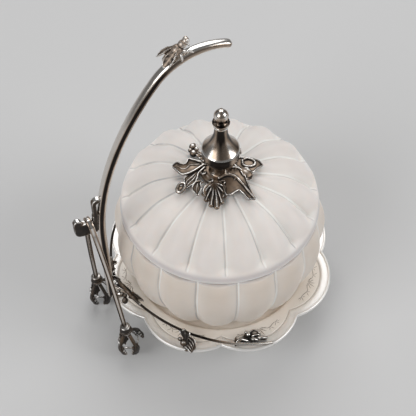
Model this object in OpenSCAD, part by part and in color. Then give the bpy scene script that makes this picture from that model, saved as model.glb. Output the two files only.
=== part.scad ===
// Pickle castor: a frosted glass bowl and lid on a lobed silver-plated tray,
// with a crook handle, a wire rail with cast leaves, and a pair of claw tongs on a hook.
// Millimetres, +Z up. The origin is on the tray's axis, on the surface that the foot stands on.

/* [Tray] */
// Radius of the tray at the crest of a lobe
tray_crest_r = 70.4; // [68:0.1:74]
// Depth of the cusps between the lobes, in from the crest
lobe_depth = 6.4; // [5:0.1:7.5]
// Number of lobes round the tray
tray_lobes = 8; // [8:8:16]
// Thickness of the tray's sheet metal
tray_sheet = 1.4; // [1:0.1:2]
// Radius of the well at the level of the flange
well_r = 53.2; // [52.9:0.1:54.5]
// Radius of the well's flat floor
well_floor_r = 51.4; // [51.2:0.1:52.4]
// Depth of the well below the flange
well_depth = 2.5; // [2:0.1:3.5]
// Width of the polished border outside the engraved line
border_w = 6; // [5:0.1:7]
// Width of the engraved line
line_w = 0.7; // [0.4:0.1:1]
// Depth of the engraved line
line_d = 0.4; // [0.2:0.1:0.6]
// Height of the stepped moulding along the tray's edge
bead_r = 1.2; // [0.8:0.1:1.5]

/* [Foot] */
// Height of the spun foot under the tray
foot_h = 22.1; // [16:0.1:26]
// Radius of the foot where it stands
foot_r = 46; // [40:0.1:52]
// Radius of the foot where it meets the tray
foot_top_r = 35; // [30:0.1:38]
// Wall of the foot
foot_wall = 1.6; // [1.2:0.1:2.4]
// Height of the foot's rolled edge
foot_edge_h = 3; // [2:0.1:4]

/* [Handle] */
// Thickness of the handle rod in its own plane
handle_t = 4.6; // [4.2:0.1:5]
// Width of the handle rod across its plane
handle_w = 5.6; // [5.2:0.1:6.2]
// Overhang of the handle's centre line beyond the tray's edge
handle_over = 0.2; // [0:0.1:0.6]
// Length of the handle's straight part above the tray
handle_straight = 58; // [55:0.5:61]
// Radius of the handle's long sweep
sweep_r = 175; // [166:1:184]
// Turn of the long sweep in degrees
sweep_turn = 37.5; // [36:0.5:39]
// Radius of the crook at the top
crook_r = 32.6; // [30:0.1:36]
// Turn of the crook in degrees
crook_turn = 73; // [66:1:76]
// Length of the handle's foot plate on the flange
plate_l = 8; // [7.7:0.1:9]
// Width of the handle's foot plate
plate_w = 10.6; // [10.2:0.1:11.4]
// Thickness of the handle's foot plate
plate_t = 2.2; // [1.8:0.1:3]
// Diameter of the two rivets that hold the handle
rivet_d = 3; // [2.4:0.1:3.1]

/* [Hook] */
// Thickness of the cast hook
hook_t = 3; // [2.4:0.1:3.4]
// Height of the hook's lowest edge above the rim
hook_z = 67; // [66:0.1:68]
// Reach of the hook from the handle's centre line
hook_reach = 14.7; // [14.4:0.1:15.6]
// Height of the ledge that carries the tongs above the hook's lowest edge
ledge_h = 9.5; // [9:0.1:10.5]
// Height of the upper scroll above the hook's lowest edge
scroll_h = 26.5; // [26:0.1:28]
// Width of the hook's upturned end
stop_w = 4.5; // [4.2:0.1:4.7]
// Height of the upturned end above the ledge
stop_h = 4; // [3:0.1:4.3]
// Space between the upturned end and the tongs' bow
bow_gap = 2.2; // [2:0.1:2.4]

/* [Rail] */
// Diameter of the rail wire
rail_d = 1.8; // [1.4:0.1:2.2]
// Height above the rim at which the rail meets the handle
rail_rise = 18; // [16:0.1:21]
// Distance of the rail's free ends in from the crest of a lobe
rail_inset = 1.2; // [0.6:0.1:2]
// Distance by which the rail draws in further halfway along each side
rail_dip = 4.8; // [4:0.1:5.6]

/* [Cast leaves] */
// Length of the largest cast leaf on the rail
leaf_l = 11; // [9:0.1:12]
// Width of the largest cast leaf
leaf_w = 5; // [4:0.1:6]
// Thickness of a cast leaf
leaf_t = 1; // [0.8:0.1:1.4]
// Radius of a cast berry
berry_r = 1.9; // [1.6:0.1:2.3]

/* [Fly] */
// Length of the fly from its eyes to its wing tips
fly_l = 16.5; // [15:0.1:18]
// Radius of the fly's body
fly_r = 2.6; // [2.4:0.1:2.9]
// Place of the fly along the crook, as a share of the crook's turn
fly_at = 0.41; // [0.34:0.01:0.48]

/* [Bowl] */
// Room between the bowl's widest ring and the crest of a lobe
bowl_room = 8.9; // [8.4:0.1:10.4]
// Radius of the bowl's base
bowl_base_r = 50; // [47:0.1:50.2]
// Radius of the bowl's rim
bowl_rim_r = 56.5; // [55.5:0.1:57.5]
// Height of the bowl
bowl_h = 56.5; // [53:0.1:59]
// Height of the bowl's widest ring above its base
belly_h = 38.5; // [35:0.1:41]
// Wall of the bowl
bowl_wall = 3; // [2.4:0.1:3.2]
// Number of lobes round the bowl and the lid
ribs = 16; // [12:1:18]
// Depth of the grooves between the bowl's lobes
bowl_groove = 3; // [2:0.1:3.4]
// Turn of the bowl's grooves in degrees
bowl_turn = 8.5; // [0:0.5:22]

/* [Lid] */
// Distance of the lid's edge in from the bowl's rim
lid_inset = 0.2; // [0:0.1:1]
// Height of the lid's dome
lid_h = 24; // [20:0.1:28]
// Wall of the lid
lid_wall = 3; // [2.4:0.1:3.4]
// Height of the plain band along the lid's edge
lid_band = 1.6; // [1.2:0.1:2.2]
// Depth of the grooves between the lid's lobes
lid_groove = 2.6; // [1.4:0.1:2.8]
// Turn of the lid's grooves in degrees
lid_turn = 2.3; // [0:0.1:22]
// Depth of the lip that keeps the lid in the bowl
lip_h = 2; // [1.5:0.1:2.2]
// Clearance of the lip in the bowl's mouth
lip_gap = 1.9; // [1.7:0.1:2.4]

/* [Finial] */
// Reach of the longest leaf of the rosette
rosette_r = 25; // [22:0.1:27]
// Radius of the finial at its widest crease
finial_r = 10.3; // [9:0.1:11]
// Height of the finial's cup below the crease
cup_h = 18.3; // [17:0.1:20]
// Height of the finial's bell above the crease
bell_h = 19.2; // [17:0.1:21]
// Radius of the bell's neck
neck_r = 3.5; // [3:0.1:4]
// Radius of the ring below the ball
ring_r = 4.7; // [4.2:0.1:5.4]
// Height of the ring below the ball
ring_h = 3.2; // [2.6:0.1:3.8]
// Radius of the ball on top
ball_r = 3.8; // [3.4:0.1:4.4]
// Diameter of the stud through the lid
stud_d = 4; // [3.4:0.1:4.6]
// Thickness of the cork washer under the lid
washer_t = 1.6; // [1:0.1:2.4]
// Width of the nut across its corners
nut_d = 10; // [8:0.1:11]
// Height of the nut
nut_h = 3.4; // [2.6:0.1:4]

/* [Tongs] */
// Width of the tongs' strip
strip_w = 3.2; // [2.8:0.1:3.6]
// Thickness of the tongs' strip
strip_t = 1.2; // [1:0.1:1.5]
// Inner radius of the tongs' bow
bow_r = 3.8; // [3.6:0.1:4.6]
// Length of one arm from its pivot to the ferrule's centre
arm_l = 76.4; // [72:0.1:78]
// Spread of one arm from the middle in degrees
arm_spread = 12.5; // [11.5:0.5:13]
// Radius of the ferrule between arm and claw
ferrule_r = 3.2; // [2.8:0.1:3.5]
// Largest radius of a claw
claw_r = 8.2; // [7.4:0.1:8.6]
// Length of a claw below its ferrule
claw_l = 20.5; // [18:0.1:22]
// Radius of a claw's finger
finger_r = 0.9; // [0.7:0.1:1.1]
// Tilt of the hanging tongs towards the front in degrees
tongs_tilt = 4.7; // [4:0.1:5.5]
// Lean of the hanging tongs towards the tray in degrees
tongs_lean = 2.3; // [1.6:0.1:2.6]
// Turn of the hanging tongs about the vertical in degrees
tongs_turn = 5; // [4:0.5:6]

/* [Fits] */
// Gap between pieces that lift off and what they rest on
seat_gap = 0.3; // [0.2:0.05:0.4]
// Radial clearance of rivets and the stud in their holes
hole_gap = 0.05; // [0.02:0.01:0.1]
// Gap round the knuckles of the tongs' bow
knuckle_gap = 0.3; // [0.2:0.05:0.4]

/* [Hidden] */
$fn = 64;

// Cutting margin, so that a cut passes right through
eps = 0.5;
silver = "#c9c6c1";
old_silver = "#8f867c";
frosted = "#e8e2dc";

// Levels of the tray
floor_z = foot_h + tray_sheet;
rim_z = floor_z + well_depth;

// Lobe circle through the crest and the two cusps beside it
tray_cusp_r = tray_crest_r - lobe_depth;
lobe_step = 360 / tray_lobes;
lobe_c = (pow(tray_crest_r, 2) - pow(tray_cusp_r, 2)) / 2
    / (tray_crest_r - tray_cusp_r * cos(lobe_step / 2));
lobe_r = tray_crest_r - lobe_c;

// Handle centre line in the plane y = 0: a straight, a long sweep and a crook
handle_x = tray_crest_r + handle_over;
sweep_z = rim_z + handle_straight;
sweep_x = sweep_r - handle_x;
sweep_end = 180 - sweep_turn;
crook_x = sweep_x + (sweep_r - crook_r) * cos(sweep_end);
crook_z = sweep_z + (sweep_r - crook_r) * sin(sweep_end);
crook_end = sweep_end - crook_turn;
// Straight, crook and tip are a hair slimmer than the sweep and reach a little way into it
slim = handle_t * 0.013;
lap = handle_t * 0.22;
strap_in = handle_x - handle_t / 2 + slim;
tip_d = handle_t - 4 * slim;
plate_in = tray_crest_r - plate_l;
rivet_x = -plate_in - plate_l * 0.4;
rivet_y = plate_w * 0.27;
rivet_head_r = rivet_d * 0.7;
rivet_head_h = rivet_d * 0.35;

// Hook levels and places, outwards from the handle's axis
hook_bar_h = hook_reach * 0.272;
hook_wall = hook_reach * 0.259;
plate_out_x = -handle_x - hook_reach;
ledge_z = rim_z + hook_z + ledge_h;
scroll_r = scroll_h * 0.1245;
scroll_x = -handle_x;

// Tongs hang with the inside of their bow on the hook's ledge
bow_mid = bow_r + strip_t / 2;
bow_out = bow_r + strip_t;
bow_drop = bow_r - sqrt(pow(bow_r, 2) - pow(hook_t / 2, 2));
tilt_gap = 0.2;
tongs_x = plate_out_x + stop_w + bow_gap + strip_w / 2;
tongs_z = ledge_z + seat_gap + bow_drop + strip_t + tilt_gap;
knuckle_r = strip_t;
strip_foot = 0.75;
ferrule_cut = ferrule_r * 0.8;

// Rail: a start at the handle, a middle and a free end on each side, on one tilted plane
rail_r = rail_d / 2;
rail_end_r = tray_crest_r - rail_inset;
rail_mid_r = rail_end_r - rail_dip;
rail_end_z = bead_r + rail_r + seat_gap;
rail_ball_r = rail_r * 1.22;
rail_start_x = strap_in - rail_ball_r;
rail_tilt = atan((rail_rise - rail_end_z) / rail_start_x);
rail_mid_a = 41;
rail_start = [-rail_start_x / cos(rail_tilt), 0];
rail_mid = [-rail_mid_r * cos(rail_mid_a) / cos(rail_tilt), -rail_mid_r * sin(rail_mid_a)];
rail_end = [0, -rail_end_r];

function centre_of(a, b, c) =
    let (d = 2 * (a.x * (b.y - c.y) + b.x * (c.y - a.y) + c.x * (a.y - b.y)),
         sa = a * a, sb = b * b, sc = c * c)
    [(sa * (b.y - c.y) + sb * (c.y - a.y) + sc * (a.y - b.y)) / d,
     (sa * (c.x - b.x) + sb * (a.x - c.x) + sc * (b.x - a.x)) / d];
rail_c = centre_of(rail_start, rail_mid, rail_end);
rail_R = norm(rail_start - rail_c);
function rail_angle(p) = let (a = atan2(p.y - rail_c.y, p.x - rail_c.x)) a < 0 ? a + 360 : a;
rail_a0 = rail_angle(rail_start);
rail_a1 = rail_angle(rail_end);

// Bowl and lid levels
bowl_r = tray_crest_r - bowl_room;
bowl_z = floor_z + seat_gap;
bowl_top = bowl_z + bowl_h;
lid_r = bowl_rim_r - lid_inset;
lid_z = bowl_top + seat_gap;
lid_top = lid_z + lid_band + lid_h;
lip_r = bowl_rim_r - bowl_wall - lip_gap;
stud_hole_r = stud_d * 0.65;
crown_r = lid_r * 0.213;
rosette_t = rosette_r * 0.064;
leaf_root = rosette_r * 0.16;

// Finial levels
rosette_z = lid_top + seat_gap;
cup_z = rosette_z + rosette_t;
crease_z = cup_z + cup_h;
ring_z = crease_z + bell_h;
ball_z = ring_z + ring_h;
under_lid_z = lid_top - lid_wall;
stud_depth = cup_h * 0.6;
cup_foot_r = finial_r * 0.7;

// Leaves of the rosette: [direction, share of the longest leaf's reach, width as a share of that reach]
rosette_leaves = [[150, 1, 0.52], [182, 0.98, 0.24], [-151, 0.8, 0.24], [-121, 0.92, 0.56], [-66, 1, 0.36],
                  [-12, 0.96, 0.52], [36, 0.85, 0.32], [75, 0.95, 0.48], [112, 0.98, 0.24]];

// Points round one ring of the bowl and the lid
rib_steps = 6 * ribs;

// Round the tray's axis: a lobed outline, drawn in by an inset
module lobed(inset = 0) {
    circle(lobe_c);
    for (k = [0:tray_lobes - 1])
        rotate(k * lobe_step) translate([lobe_c, 0]) circle(lobe_r - inset);
}

// Holes for the handle's rivets, right through plate and flange
module rivet_holes() {
    for (s = [-1, 1]) translate([rivet_x, s * rivet_y, floor_z])
        cylinder(d = rivet_d + 2 * hole_gap, h = well_depth + plate_t + eps);
}

module tray() {
    color(silver) difference() {
        union() {
            translate([0, 0, rim_z - tray_sheet]) linear_extrude(tray_sheet) difference() {
                lobed();
                circle(well_r);
            }
            rotate_extrude() polygon([
                [0, floor_z], [well_floor_r, floor_z], [well_r, rim_z], [well_r + tray_sheet, rim_z],
                [well_r + tray_sheet, rim_z - tray_sheet],
                [well_floor_r + tray_sheet / 2, foot_h], [0, foot_h]
            ]);
        }
        translate([0, 0, rim_z - line_d]) linear_extrude(line_d + eps) difference() {
            lobed(border_w);
            lobed(border_w + line_w);
        }
        rivet_holes();
    }
}

// A stepped moulding along the tray's edge, left out where the handle's foot plate lies
module rim_bead() {
    step = bead_r / 2;
    color(silver) difference() {
        for (k = [0, 1]) translate([0, 0, rim_z]) linear_extrude((k + 1) * step) difference() {
            lobed(k * step);
            lobed(2 * bead_r - k * step);
        }
        translate([-2 * tray_crest_r, -plate_w / 2 - seat_gap, rim_z - eps])
            cube([2 * tray_crest_r, plate_w + 2 * seat_gap, bead_r + 2 * eps]);
    }
}

// A cove from the tray down to the foot's edge
function foot_cove(inset, steps = 6) = [
    for (i = [0:steps]) let (a = 90 * i / steps)
        [foot_top_r - inset + (foot_r - foot_top_r) * (1 - cos(a)),
         foot_h - (inset > 0 ? foot_wall : 0) - (foot_h - foot_edge_h - inset * 0.5) * sin(a)]
];

module foot() {
    inner = foot_cove(foot_wall);
    color(silver) rotate_extrude() polygon(concat(
        foot_cove(0),
        [[foot_r, 0], [foot_r - 2 * foot_wall, 0]],
        [for (i = [len(inner) - 2:-1:0]) inner[i]],
        [[foot_top_r - 4 * foot_wall, foot_h - foot_wall], [foot_top_r - 4 * foot_wall, foot_h]]
    ));
}

module strap_section(inset = 0) {
    side = (handle_w - handle_t) / 2;
    square([handle_t - 2 * inset, 2 * side], center = true);
    for (s = [-1, 1]) translate([0, s * side]) circle(d = handle_t - 2 * inset);
}

// Part of a ring in the plane y = 0, from one angle on by a turn
module strap_arc(x, z, r, from, turn, inset = 0) {
    translate([x, 0, z]) rotate([90, 0, 0]) rotate(from) rotate_extrude(angle = turn)
        translate([r, 0]) strap_section(inset);
}

module crook() {
    lap_turn = lap / crook_r * 180 / PI;
    strap_arc(crook_x, crook_z, crook_r, crook_end, crook_turn + lap_turn, slim);
}

module handle() {
    color(silver) difference() {
        union() {
            translate([-handle_x, 0, rim_z]) linear_extrude(handle_straight + lap) strap_section(slim);
            strap_arc(sweep_x, sweep_z, sweep_r, sweep_end, sweep_turn);
            crook();
            translate([crook_x + crook_r * cos(crook_end), 0, crook_z + crook_r * sin(crook_end)]) {
                for (s = [-1, 1]) translate([0, s * (handle_w - handle_t) / 2, 0]) sphere(d = tip_d);
                rotate([90, 0, 0]) cylinder(d = tip_d, h = handle_w - handle_t, center = true);
            }
            translate([-handle_x, -plate_w / 2, rim_z]) cube([handle_x - plate_in, plate_w, plate_t]);
        }
        rivet_holes();
    }
}

// A low dome with its flat face down
module dome(r, h) {
    ball = (r * r + h * h) / (2 * h);
    intersection() {
        translate([0, 0, h - ball]) sphere(ball);
        cylinder(r = 2 * r, h = 2 * h);
    }
}

module handle_rivets() {
    color(silver) for (s = [-1, 1]) translate([rivet_x, s * rivet_y, 0]) {
        translate([0, 0, rim_z - tray_sheet]) cylinder(d = rivet_d, h = tray_sheet + plate_t);
        translate([0, 0, rim_z + plate_t]) dome(rivet_head_r, rivet_head_h);
        translate([0, 0, rim_z - tray_sheet]) mirror([0, 0, 1]) dome(rivet_head_r, rivet_head_h);
    }
}

// A slot shape with round ends, standing between two heights
module slot_2d(x, z0, z1, r) {
    translate([x - r, z0]) square([2 * r, z1 - z0]);
    for (z = [z0, z1]) translate([x, z]) circle(r);
}

module hook_2d() {
    low = rim_z + hook_z;
    top = low + scroll_h;
    difference() {
        union() {
            slot_2d(scroll_x, low + scroll_h / 2, top - scroll_r, scroll_r);
            translate([scroll_x + scroll_r / 2, top - scroll_r / 2]) circle(scroll_r / 2);
            translate([-handle_x - hook_wall, low]) square([hook_wall + handle_t, scroll_h / 2]);
            translate([plate_out_x + hook_bar_h, low]) square([hook_reach - hook_bar_h, hook_bar_h]);
            translate([plate_out_x + hook_bar_h, low + hook_bar_h]) circle(hook_bar_h);
            translate([plate_out_x, low + hook_bar_h])
                square([stop_w + bow_gap + strip_w + 2 * seat_gap, ledge_h - hook_bar_h]);
            slot_2d(plate_out_x + stop_w / 2, low + hook_bar_h, ledge_z - stop_w / 2 + stop_h, stop_w / 2);
        }
        slot_2d(scroll_x, low + scroll_h * 0.56, top - scroll_r * 1.2, scroll_r * 0.3);
        translate([sweep_x, sweep_z]) circle(sweep_r + handle_t / 2, $fn = 360);
    }
}

module tong_hook() {
    color(old_silver) translate([0, hook_t / 2, 0]) rotate([90, 0, 0]) linear_extrude(hook_t) hook_2d();
}

// The plane of the rail, with its first axis along the slope
module on_rail() {
    translate([0, 0, rim_z + rail_end_z]) rotate([0, rail_tilt, 0]) children();
}

// A stretch of a ring along the front rail, with a round section
module rail_stretch(r, from, to) {
    translate(rail_c) rotate(from) rotate_extrude(angle = to - from) translate([rail_R, 0]) circle(r);
}

function rail_at(share) = let (a = rail_a0 + share * (rail_a1 - rail_a0))
    [rail_c.x + rail_R * cos(a), rail_c.y + rail_R * sin(a), 0];
function rail_heading(share) = rail_a0 + share * (rail_a1 - rail_a0) + 90;

module rail_side() {
    on_rail() {
        rail_stretch(rail_r, rail_a0, rail_a1);
        for (p = [rail_start, rail_end]) translate(p) sphere(rail_ball_r);
    }
}

module rail_wire() {
    color(silver) {
        rail_side();
        mirror([0, 1, 0]) rail_side();
    }
}

// A pointed leaf that starts at the origin and runs along +X
module leaf_2d(l, w) {
    r = (l * l / w + w) / 4;
    intersection_for (s = [-1, 1]) translate([l / 2, s * (r - w / 2)]) circle(r);
}

module leaf(l, w, t = leaf_t) {
    linear_extrude(t) leaf_2d(l, w);
}

// Leaves and berries along the first stretch of the rail, beside the handle.
// The places and the sleeve's end are shares of the rail's length.
module spray(places, sleeve_end) {
    sleeve_start = 0.045;
    sleeve_r = rail_r * 1.78;
    span = rail_a1 - rail_a0;
    tip = sleeve_end - 0.03;
    difference() {
        on_rail() {
            rail_stretch(sleeve_r, rail_a0 + sleeve_start * span, rail_a0 + sleeve_end * span);
            for (place = places) {
                translate(rail_at(place)) rotate(rail_heading(place) - 35) translate([0, 0, leaf_t * 0.1])
                    rotate([12, -6, 0]) leaf(leaf_l * 0.6, leaf_w);
                translate(rail_at(place + 0.03)) rotate(rail_heading(place) - 90)
                    translate([berry_r * 1.1, 0, -berry_r]) sphere(berry_r);
            }
            translate(rail_at(tip)) rotate(rail_heading(tip) + 18)
                translate([0, 0, -leaf_t / 2]) leaf(leaf_l * 0.7, leaf_w * 0.8);
        }
        rail_side();
    }
}

module spray_front() { color(old_silver) spray([0.06, 0.11, 0.17], 0.24); }
module spray_rear() { color(old_silver) mirror([0, 1, 0]) spray([0.06], 0.13); }

// A post with a ball and two leaves, which carries the rail from the tray's border
module leaf_post() {
    share = 0.53;
    spot = rail_at(share);
    x = spot.x * cos(rail_tilt);
    height = rail_end_z - spot.x * sin(rail_tilt);
    out = atan2(spot.y, x);
    translate([x, spot.y, rim_z]) difference() {
        union() {
            cylinder(r1 = berry_r * 1.1, r2 = berry_r * 0.7, h = height);
            rotate(out) translate([berry_r, 0, height * 0.55]) sphere(berry_r);
            rotate(out - 12) translate([-berry_r / 2, 0, bead_r + seat_gap])
                rotate([0, -10, 0]) leaf(leaf_l * 0.75, leaf_w);
            rotate(out + 150) translate([-berry_r / 2, 0, height * 0.4])
                rotate([0, -20, 0]) leaf(leaf_l * 0.6, leaf_w * 0.8);
        }
        translate([-x, -spot.y, -rim_z]) rail_side();
    }
}

module leaf_post_front() { color(old_silver) leaf_post(); }
module leaf_post_rear() { color(old_silver) mirror([0, 1, 0]) leaf_post(); }

// A five-petalled flower with leaves, on the flange near the rail's free end
module flower() {
    petals = 5;
    spread = berry_r * 1.35;
    flower_at = -98;
    seat_r = (well_r + tray_sheet + tray_crest_r - border_w) / 2 + leaf_t;
    difference() {
        rotate(flower_at) translate([seat_r, 0, rim_z]) {
            for (k = [0:petals - 1]) rotate(k * 360 / petals) translate([spread, 0, berry_r * 0.75])
                sphere(berry_r * 0.9);
            translate([0, 0, berry_r * 1.2]) sphere(berry_r * 0.9);
            cylinder(r = spread, h = berry_r);
            rotate(-112) rotate([0, -10, 0]) leaf(leaf_l, leaf_w);
            rotate(78) rotate([0, -8, 0]) leaf(leaf_l * 0.9, leaf_w);
            rotate(-60) rotate([0, -16, 0]) leaf(leaf_l * 0.6, leaf_w * 0.8);
        }
        translate([0, 0, rim_z - 2 * berry_r]) cylinder(r = 2 * tray_crest_r, h = 2 * berry_r);
        rail_side();
    }
}

module flower_front() { color(old_silver) flower(); }
module flower_rear() { color(old_silver) mirror([0, 1, 0]) flower(); }

// A resting fly on the crook: head towards the free end, wings folded back
module insect() {
    perch = sweep_end - crook_turn * fly_at;
    back_z = fly_r * 1.35;
    wing_t = fly_r * 0.23;
    leg_r = fly_r * 0.21;
    perch_r = crook_r + handle_t / 2;
    color(silver) difference() {
        translate([crook_x, 0, crook_z]) rotate([0, 90 - perch, 0]) translate([0, 0, perch_r]) {
            translate([fly_l * 0.06, 0, back_z]) sphere(fly_r);
            translate([fly_l * 0.28, 0, back_z + fly_r * 0.5]) sphere(fly_r * 0.72);
            for (s = [-1, 1]) translate([fly_l * 0.36, s * fly_r * 0.5, back_z + fly_r]) sphere(fly_r * 0.42);
            translate([fly_l * 0.02, 0, back_z]) rotate([0, -97, 0])
                cylinder(r1 = fly_r * 0.9, r2 = fly_r * 0.35, h = fly_l * 0.45);
            for (s = [-1, 1]) translate([fly_l * 0.1, s * fly_r * 0.4, back_z + fly_r * 0.72])
                rotate([0, 14, 180 - s * 14]) leaf(fly_l * 0.66, fly_r * 1.75, wing_t);
            for (s = [-1, 1], x = [-0.06, 0.08, 0.22]) translate([x * fly_l, s * fly_r * 0.35, fly_r * 0.9])
                rotate([s * -164, 0, 0]) cylinder(r = leg_r, h = fly_r * 1.4);
        }
        crook();
    }
}

// Rings of points about the axis joined into one closed skin.
// Each ring is [radius, height, share of the groove's depth].
function rib_wave(a, turn) = 1 - abs(sin((a - turn) * ribs / 2));
function ring_points(rings, groove, turn, steps) = [
    for (ring = rings, i = [0:steps - 1]) let (a = turn + i * 360 / steps)
        let (r = ring[0] - ring[2] * groove * rib_wave(a, turn)) [r * cos(a), r * sin(a), ring[1]]
];
function ring_quads(count, steps, closed) = [
    for (k = [0:count - (closed ? 1 : 2)], i = [0:steps - 1])
        let (a = k * steps, b = ((k + 1) % count) * steps, j = (i + 1) % steps)
        each [[a + i, b + i, b + j], [a + i, b + j, a + j]]
];

// Outer radius of the bowl at a height above its base
function bowl_radius(h) = h < belly_h
    ? bowl_base_r + (bowl_r - bowl_base_r) * (1 - pow((belly_h - h) / belly_h, 2))
    : bowl_r - (bowl_r - bowl_rim_r) * pow((h - belly_h) / (bowl_h - belly_h), 2);

module bowl() {
    outer_h = [for (s = [0.05, 0.12, 0.22, 0.34, 0.46, 0.58, 0.7, 0.8, 0.88, 0.95]) s * bowl_h];
    inner_h = [for (s = [0.86, 0.7, 0.5, 0.3, 0.16]) s * bowl_h];
    inner_share = 0.6;
    rim_round = bowl_wall / 5;
    fade_foot = bowl_h / 16;
    fade_rim = bowl_h / 5;
    fade = function(h) min(1, h / fade_foot) * min(1, 0.25 + (bowl_h - h) / fade_rim);
    rings = concat(
        [[bowl_base_r - bowl_wall, bowl_z, 0]],
        [[bowl_base_r - bowl_wall / 2, bowl_z + rim_round, 0]],
        [for (h = outer_h) [bowl_radius(h), bowl_z + h, fade(h)]],
        [[bowl_rim_r, bowl_top - rim_round, 0], [bowl_rim_r - rim_round, bowl_top, 0],
         [bowl_rim_r - bowl_wall + rim_round, bowl_top, 0]],
        [[bowl_radius(0.98 * bowl_h) - bowl_wall, bowl_z + 0.98 * bowl_h, 0]],
        [for (h = inner_h) [bowl_radius(h) - bowl_wall, bowl_z + h, inner_share * fade(h)]],
        [[bowl_base_r - bowl_wall, bowl_z + 1.5 * bowl_wall, 0],
         [bowl_base_r - 2 * bowl_wall, bowl_z + bowl_wall, 0]]
    );
    count = len(rings);
    total = count * rib_steps;
    last = total - rib_steps;
    color(frosted) polyhedron(
        concat(
            ring_points(rings, bowl_groove, bowl_turn, rib_steps),
            [[0, 0, rings[0][1]], [0, 0, rings[count - 1][1]]]
        ),
        concat(
            ring_quads(count, rib_steps, false),
            [for (i = [0:rib_steps - 1]) [total, i, (i + 1) % rib_steps]],
            [for (i = [0:rib_steps - 1]) [total + 1, last + (i + 1) % rib_steps, last + i]]
        )
    );
}

// Height of the dome above the lid's band at a radius, for a dome of a given size
function dome_rise(r, size, rise) = rise * sqrt(max(0, 1 - pow(r / size, 2)));

module lid() {
    band_z = lid_z + lid_band;
    outer_s = [0.3, 0.48, 0.64, 0.77, 0.87, 0.94, 0.985];
    inner_r = lid_r - lid_wall;
    edge_round = lid_band * 0.3;
    fade = function(s) min(1, max(0, (s - 0.2) / 0.3)) * min(1, (1.02 - s) / 0.1);
    rings = concat(
        [[stud_hole_r, lid_top, 0], [crown_r, lid_top, 0]],
        [for (s = outer_s) [s * lid_r, band_z + dome_rise(s * lid_r, lid_r, lid_h), fade(s)]],
        [[lid_r, band_z, 0], [lid_r, lid_z + edge_round, 0], [lid_r - edge_round, lid_z, 0],
         [lip_r, lid_z, 0], [lip_r, lid_z - seat_gap - lip_h, 0],
         [lip_r - lid_wall / 2, lid_z - seat_gap - lip_h, 0], [lip_r - lid_wall / 2, lid_z, 0]],
        [for (s = [0.9, 0.75, 0.55])
            [s * inner_r, band_z + dome_rise(s * inner_r, inner_r, lid_h - lid_wall), 0]],
        [[crown_r * 1.17, under_lid_z, 0], [stud_hole_r, under_lid_z, 0]]
    );
    color(frosted) polyhedron(
        ring_points(rings, lid_groove, lid_turn, rib_steps),
        [for (f = ring_quads(len(rings), rib_steps, true)) [f[0], f[2], f[1]]]
    );
}

// Cast leaves lying on the crown of the lid, pierced for the stud
module rosette() {
    droop = 7;
    color(old_silver) difference() {
        translate([0, 0, rosette_z]) {
            cylinder(r = crown_r * 0.875, h = rosette_t);
            for (l = rosette_leaves) rotate(l[0]) translate([leaf_root, 0, rosette_t * 0.9])
                rotate([0, droop, 0]) leaf(l[1] * rosette_r - leaf_root, l[2] * rosette_r, rosette_t);
        }
        translate([0, 0, rosette_z - eps]) cylinder(d = stud_d + 2 * hole_gap, h = rosette_t + 2 * eps);
        translate([0, 0, cup_z]) cylinder(r = cup_foot_r + 4 * hole_gap, h = rosette_t + eps);
    }
}

module finial_cup() {
    stem_r = finial_r * 0.46;
    edge_h = finial_r * 0.08;
    cove_h = finial_r * 0.5;
    flare_z = cup_h - 2 * cove_h;
    band_h = finial_r * 0.46;
    lip = finial_r * 0.1;
    color(old_silver) difference() {
        translate([0, 0, cup_z]) rotate_extrude() polygon(concat(
            [[0, 0], [cup_foot_r, 0], [cup_foot_r, edge_h]],
            [for (a = [15:15:90])
                [stem_r + (cup_foot_r - stem_r) * (1 - sin(a)), edge_h + cove_h * (1 - cos(a))]],
            [[stem_r, flare_z]],
            [for (a = [15:15:90])
                [stem_r + (finial_r * 0.95 - stem_r) * sin(a), flare_z + cove_h * (1 - cos(a))]],
            [[finial_r, cup_h - band_h], [finial_r, cup_h - lip], [finial_r - lip * 0.8, cup_h], [0, cup_h]]
        ));
        translate([0, 0, cup_z - eps]) cylinder(d = stud_d + 2 * hole_gap, h = stud_depth + eps);
    }
}

module finial_bell() {
    flare = 2.6;
    edge_h = finial_r * 0.05;
    neck_h = bell_h * 0.9;
    color(old_silver) translate([0, 0, crease_z]) rotate_extrude() polygon(concat(
        [[0, 0], [finial_r * 0.96, 0], [finial_r, edge_h]],
        [for (share = [0.1:0.1:1])
            [neck_r + (finial_r - neck_r) * pow(1 - share, flare), edge_h + (neck_h - edge_h) * share]],
        [[neck_r, bell_h], [0, bell_h]]
    ));
}

module finial_ring() {
    color(old_silver) translate([0, 0, ring_z]) rotate_extrude() {
        square([ring_r - ring_h / 2, ring_h]);
        translate([ring_r - ring_h / 2, ring_h / 2]) circle(ring_h / 2);
    }
}

module finial_ball() {
    color(silver) intersection() {
        translate([0, 0, ball_z + ball_r * 0.9]) sphere(ball_r);
        translate([0, 0, ball_z]) cylinder(r = 2 * ball_r, h = 3 * ball_r);
    }
}

module finial_stud() {
    bottom = under_lid_z - washer_t - nut_h - stud_d / 4;
    color(old_silver) translate([0, 0, bottom]) cylinder(d = stud_d, h = cup_z + stud_depth - bottom);
}

module cork_washer() {
    color("#a9835a") translate([0, 0, under_lid_z - washer_t]) difference() {
        cylinder(r = crown_r * 0.83, h = washer_t);
        translate([0, 0, -eps]) cylinder(d = stud_d + 2 * hole_gap, h = washer_t + 2 * eps);
    }
}

module finial_nut() {
    color(old_silver) translate([0, 0, under_lid_z - washer_t - nut_h]) difference() {
        cylinder(d = nut_d, h = nut_h, $fn = 6);
        translate([0, 0, -eps]) cylinder(d = stud_d + 2 * hole_gap, h = nut_h + 2 * eps);
    }
}

// The tongs' own frame: the top of the bow at the origin, the arms hanging along -Z
module hung() {
    translate([tongs_x, 0, tongs_z]) rotate([-tongs_tilt, -tongs_lean, tongs_turn]) children();
}

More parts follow.
